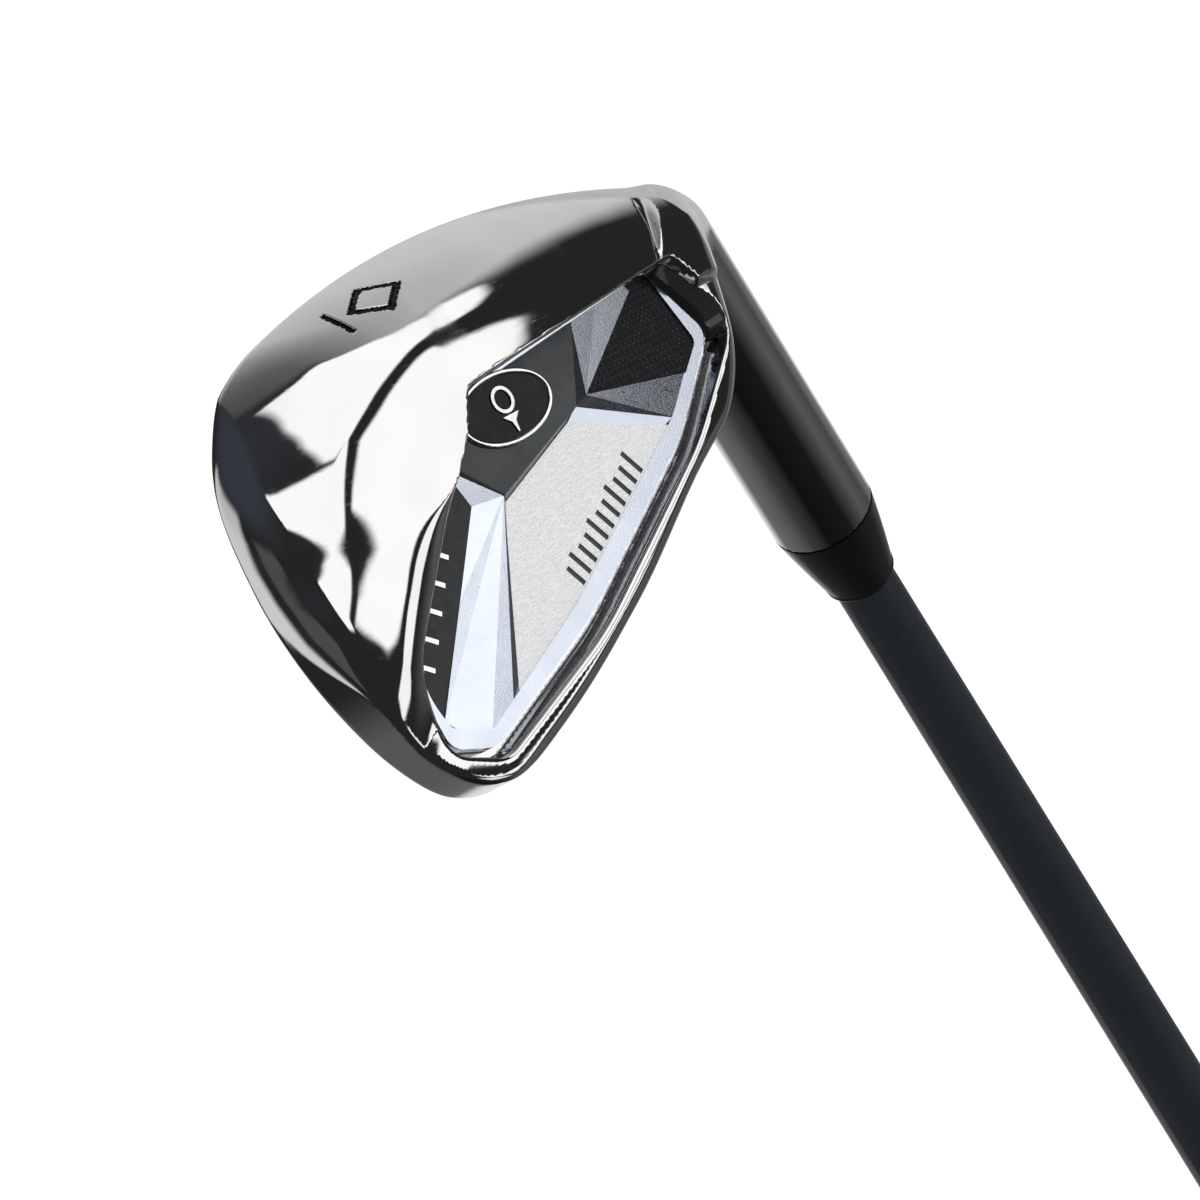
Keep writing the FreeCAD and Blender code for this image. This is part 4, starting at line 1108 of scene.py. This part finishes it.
def studio_window(g, azimuth, elevation, corners, soft):
    """1 inside a convex window, falling to 0 over soft degrees outside."""
    share = None
    for (a0, e0), (a1, e1) in zip(corners, corners[1:] + corners[:1]):
        length = math.hypot(a1 - a0, e1 - e0)
        inward_a, inward_e = -(e1 - e0) / length, (a1 - a0) / length
        offset = -(a0 * inward_a + e0 * inward_e)
        inside = g.math("MULTIPLY_ADD", azimuth, inward_a, offset)
        inside = g.math("MULTIPLY_ADD", elevation, inward_e, inside)
        edge = g.ramp(inside, -soft / 2, soft / 2)
        share = edge if share is None else g.times(share, edge)
    return share


def studio_world():
    """White to the camera, soft and even to matt surfaces, and a studio of softboxes to polished ones."""
    world = bpy.data.worlds.new("studio")
    world.use_nodes = True
    world.node_tree.nodes.clear()
    g = Graph(world.node_tree)
    direction = g.node("ShaderNodeTexCoord", output="Generated")
    x, y, z = g.parts(direction)
    azimuth = g.math("DEGREES", g.math("ARCTAN2", y, g.times(x, -1.0)))
    elevation = g.math("DEGREES", g.math("ARCSINE", z))
    colour = g.mix(g.ramp(elevation, *ZENITH_SPAN), STUDIO_DARK, STUDIO_ZENITH)
    ground = g.colour_ramp(g.ramp(azimuth, -180, 180, smooth=False),
                           [((place + 180) / 360, grey(level)) for place, level in GROUND_LEVELS])
    colour = g.mix(g.ramp(elevation, *GROUND_SPAN), colour, ground)
    for corners, soft, low, high in STUDIO_WINDOWS.values():
        share = studio_window(g, azimuth, elevation, corners, soft)
        heights = [corner[1] for corner in corners]
        light = g.ramp(elevation, min(heights) + WINDOW_RISE, max(heights), low, high)
        colour = g.mix(share, colour, light)
    polished = g.node("ShaderNodeBackground", {"Color": colour, "Strength": 1.0})
    soft_fill = g.node("ShaderNodeBackground", {"Color": grey(1.0), "Strength": FILL_STRENGTH})
    white = g.node("ShaderNodeBackground", {"Color": grey(1.0), "Strength": 1.0})
    is_glossy = g.node("ShaderNodeLightPath", output="Is Glossy Ray")
    is_camera = g.node("ShaderNodeLightPath", output="Is Camera Ray")
    unlit = g.node("ShaderNodeMixShader", {0: is_glossy, 1: soft_fill, 2: polished})
    surface = g.node("ShaderNodeMixShader", {0: is_camera, 1: unlit, 2: white})
    g.node("ShaderNodeOutputWorld", {"Surface": surface})
    bpy.context.scene.world = world


def pale_floor():
    """Flat floor under the butt, hidden from mirror rays."""
    mesh = bpy.data.meshes.new("floor")
    corners = [(-1, -1), (1, -1), (1, 1), (-1, 1)]
    mesh.from_pydata([(x * FLOOR_HALF_SIZE, y * FLOOR_HALF_SIZE, 0) for x, y in corners], [], [(0, 1, 2, 3)])
    floor = bpy.data.objects.new("floor", mesh)
    g = new_material("floor_paper", place=None)
    mesh.materials.append(finished(g, Base_Color=grey(FLOOR_GREY), Roughness=0.9, Specular_IOR_Level=0.1))
    floor.visible_glossy = False
    bpy.context.scene.collection.objects.link(floor)


def soft_light(name, place, target, size, power):
    """Square area lamp that faces the target and is hidden from mirror rays."""
    light = bpy.data.lights.new(name, "AREA")
    light.size = size
    light.energy = power
    lamp = bpy.data.objects.new(name, light)
    lamp.location = place
    lamp.rotation_euler = (Vector(target) - Vector(place)).to_track_quat("-Z", "Y").to_euler()
    lamp.visible_glossy = False
    bpy.context.scene.collection.objects.link(lamp)


def set_stage():
    place_camera()
    studio_world()
    pale_floor()
    head_low, head_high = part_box("head_body")
    head = (head_low + head_high) / 2
    soft_light("key", head + Vector(KEY_OFFSET), head, KEY_SIZE, KEY_POWER)
    scene = bpy.context.scene
    scene.view_settings.view_transform = "Standard"
    scene.cycles.use_denoising = True


build_pieces()
set_stage()
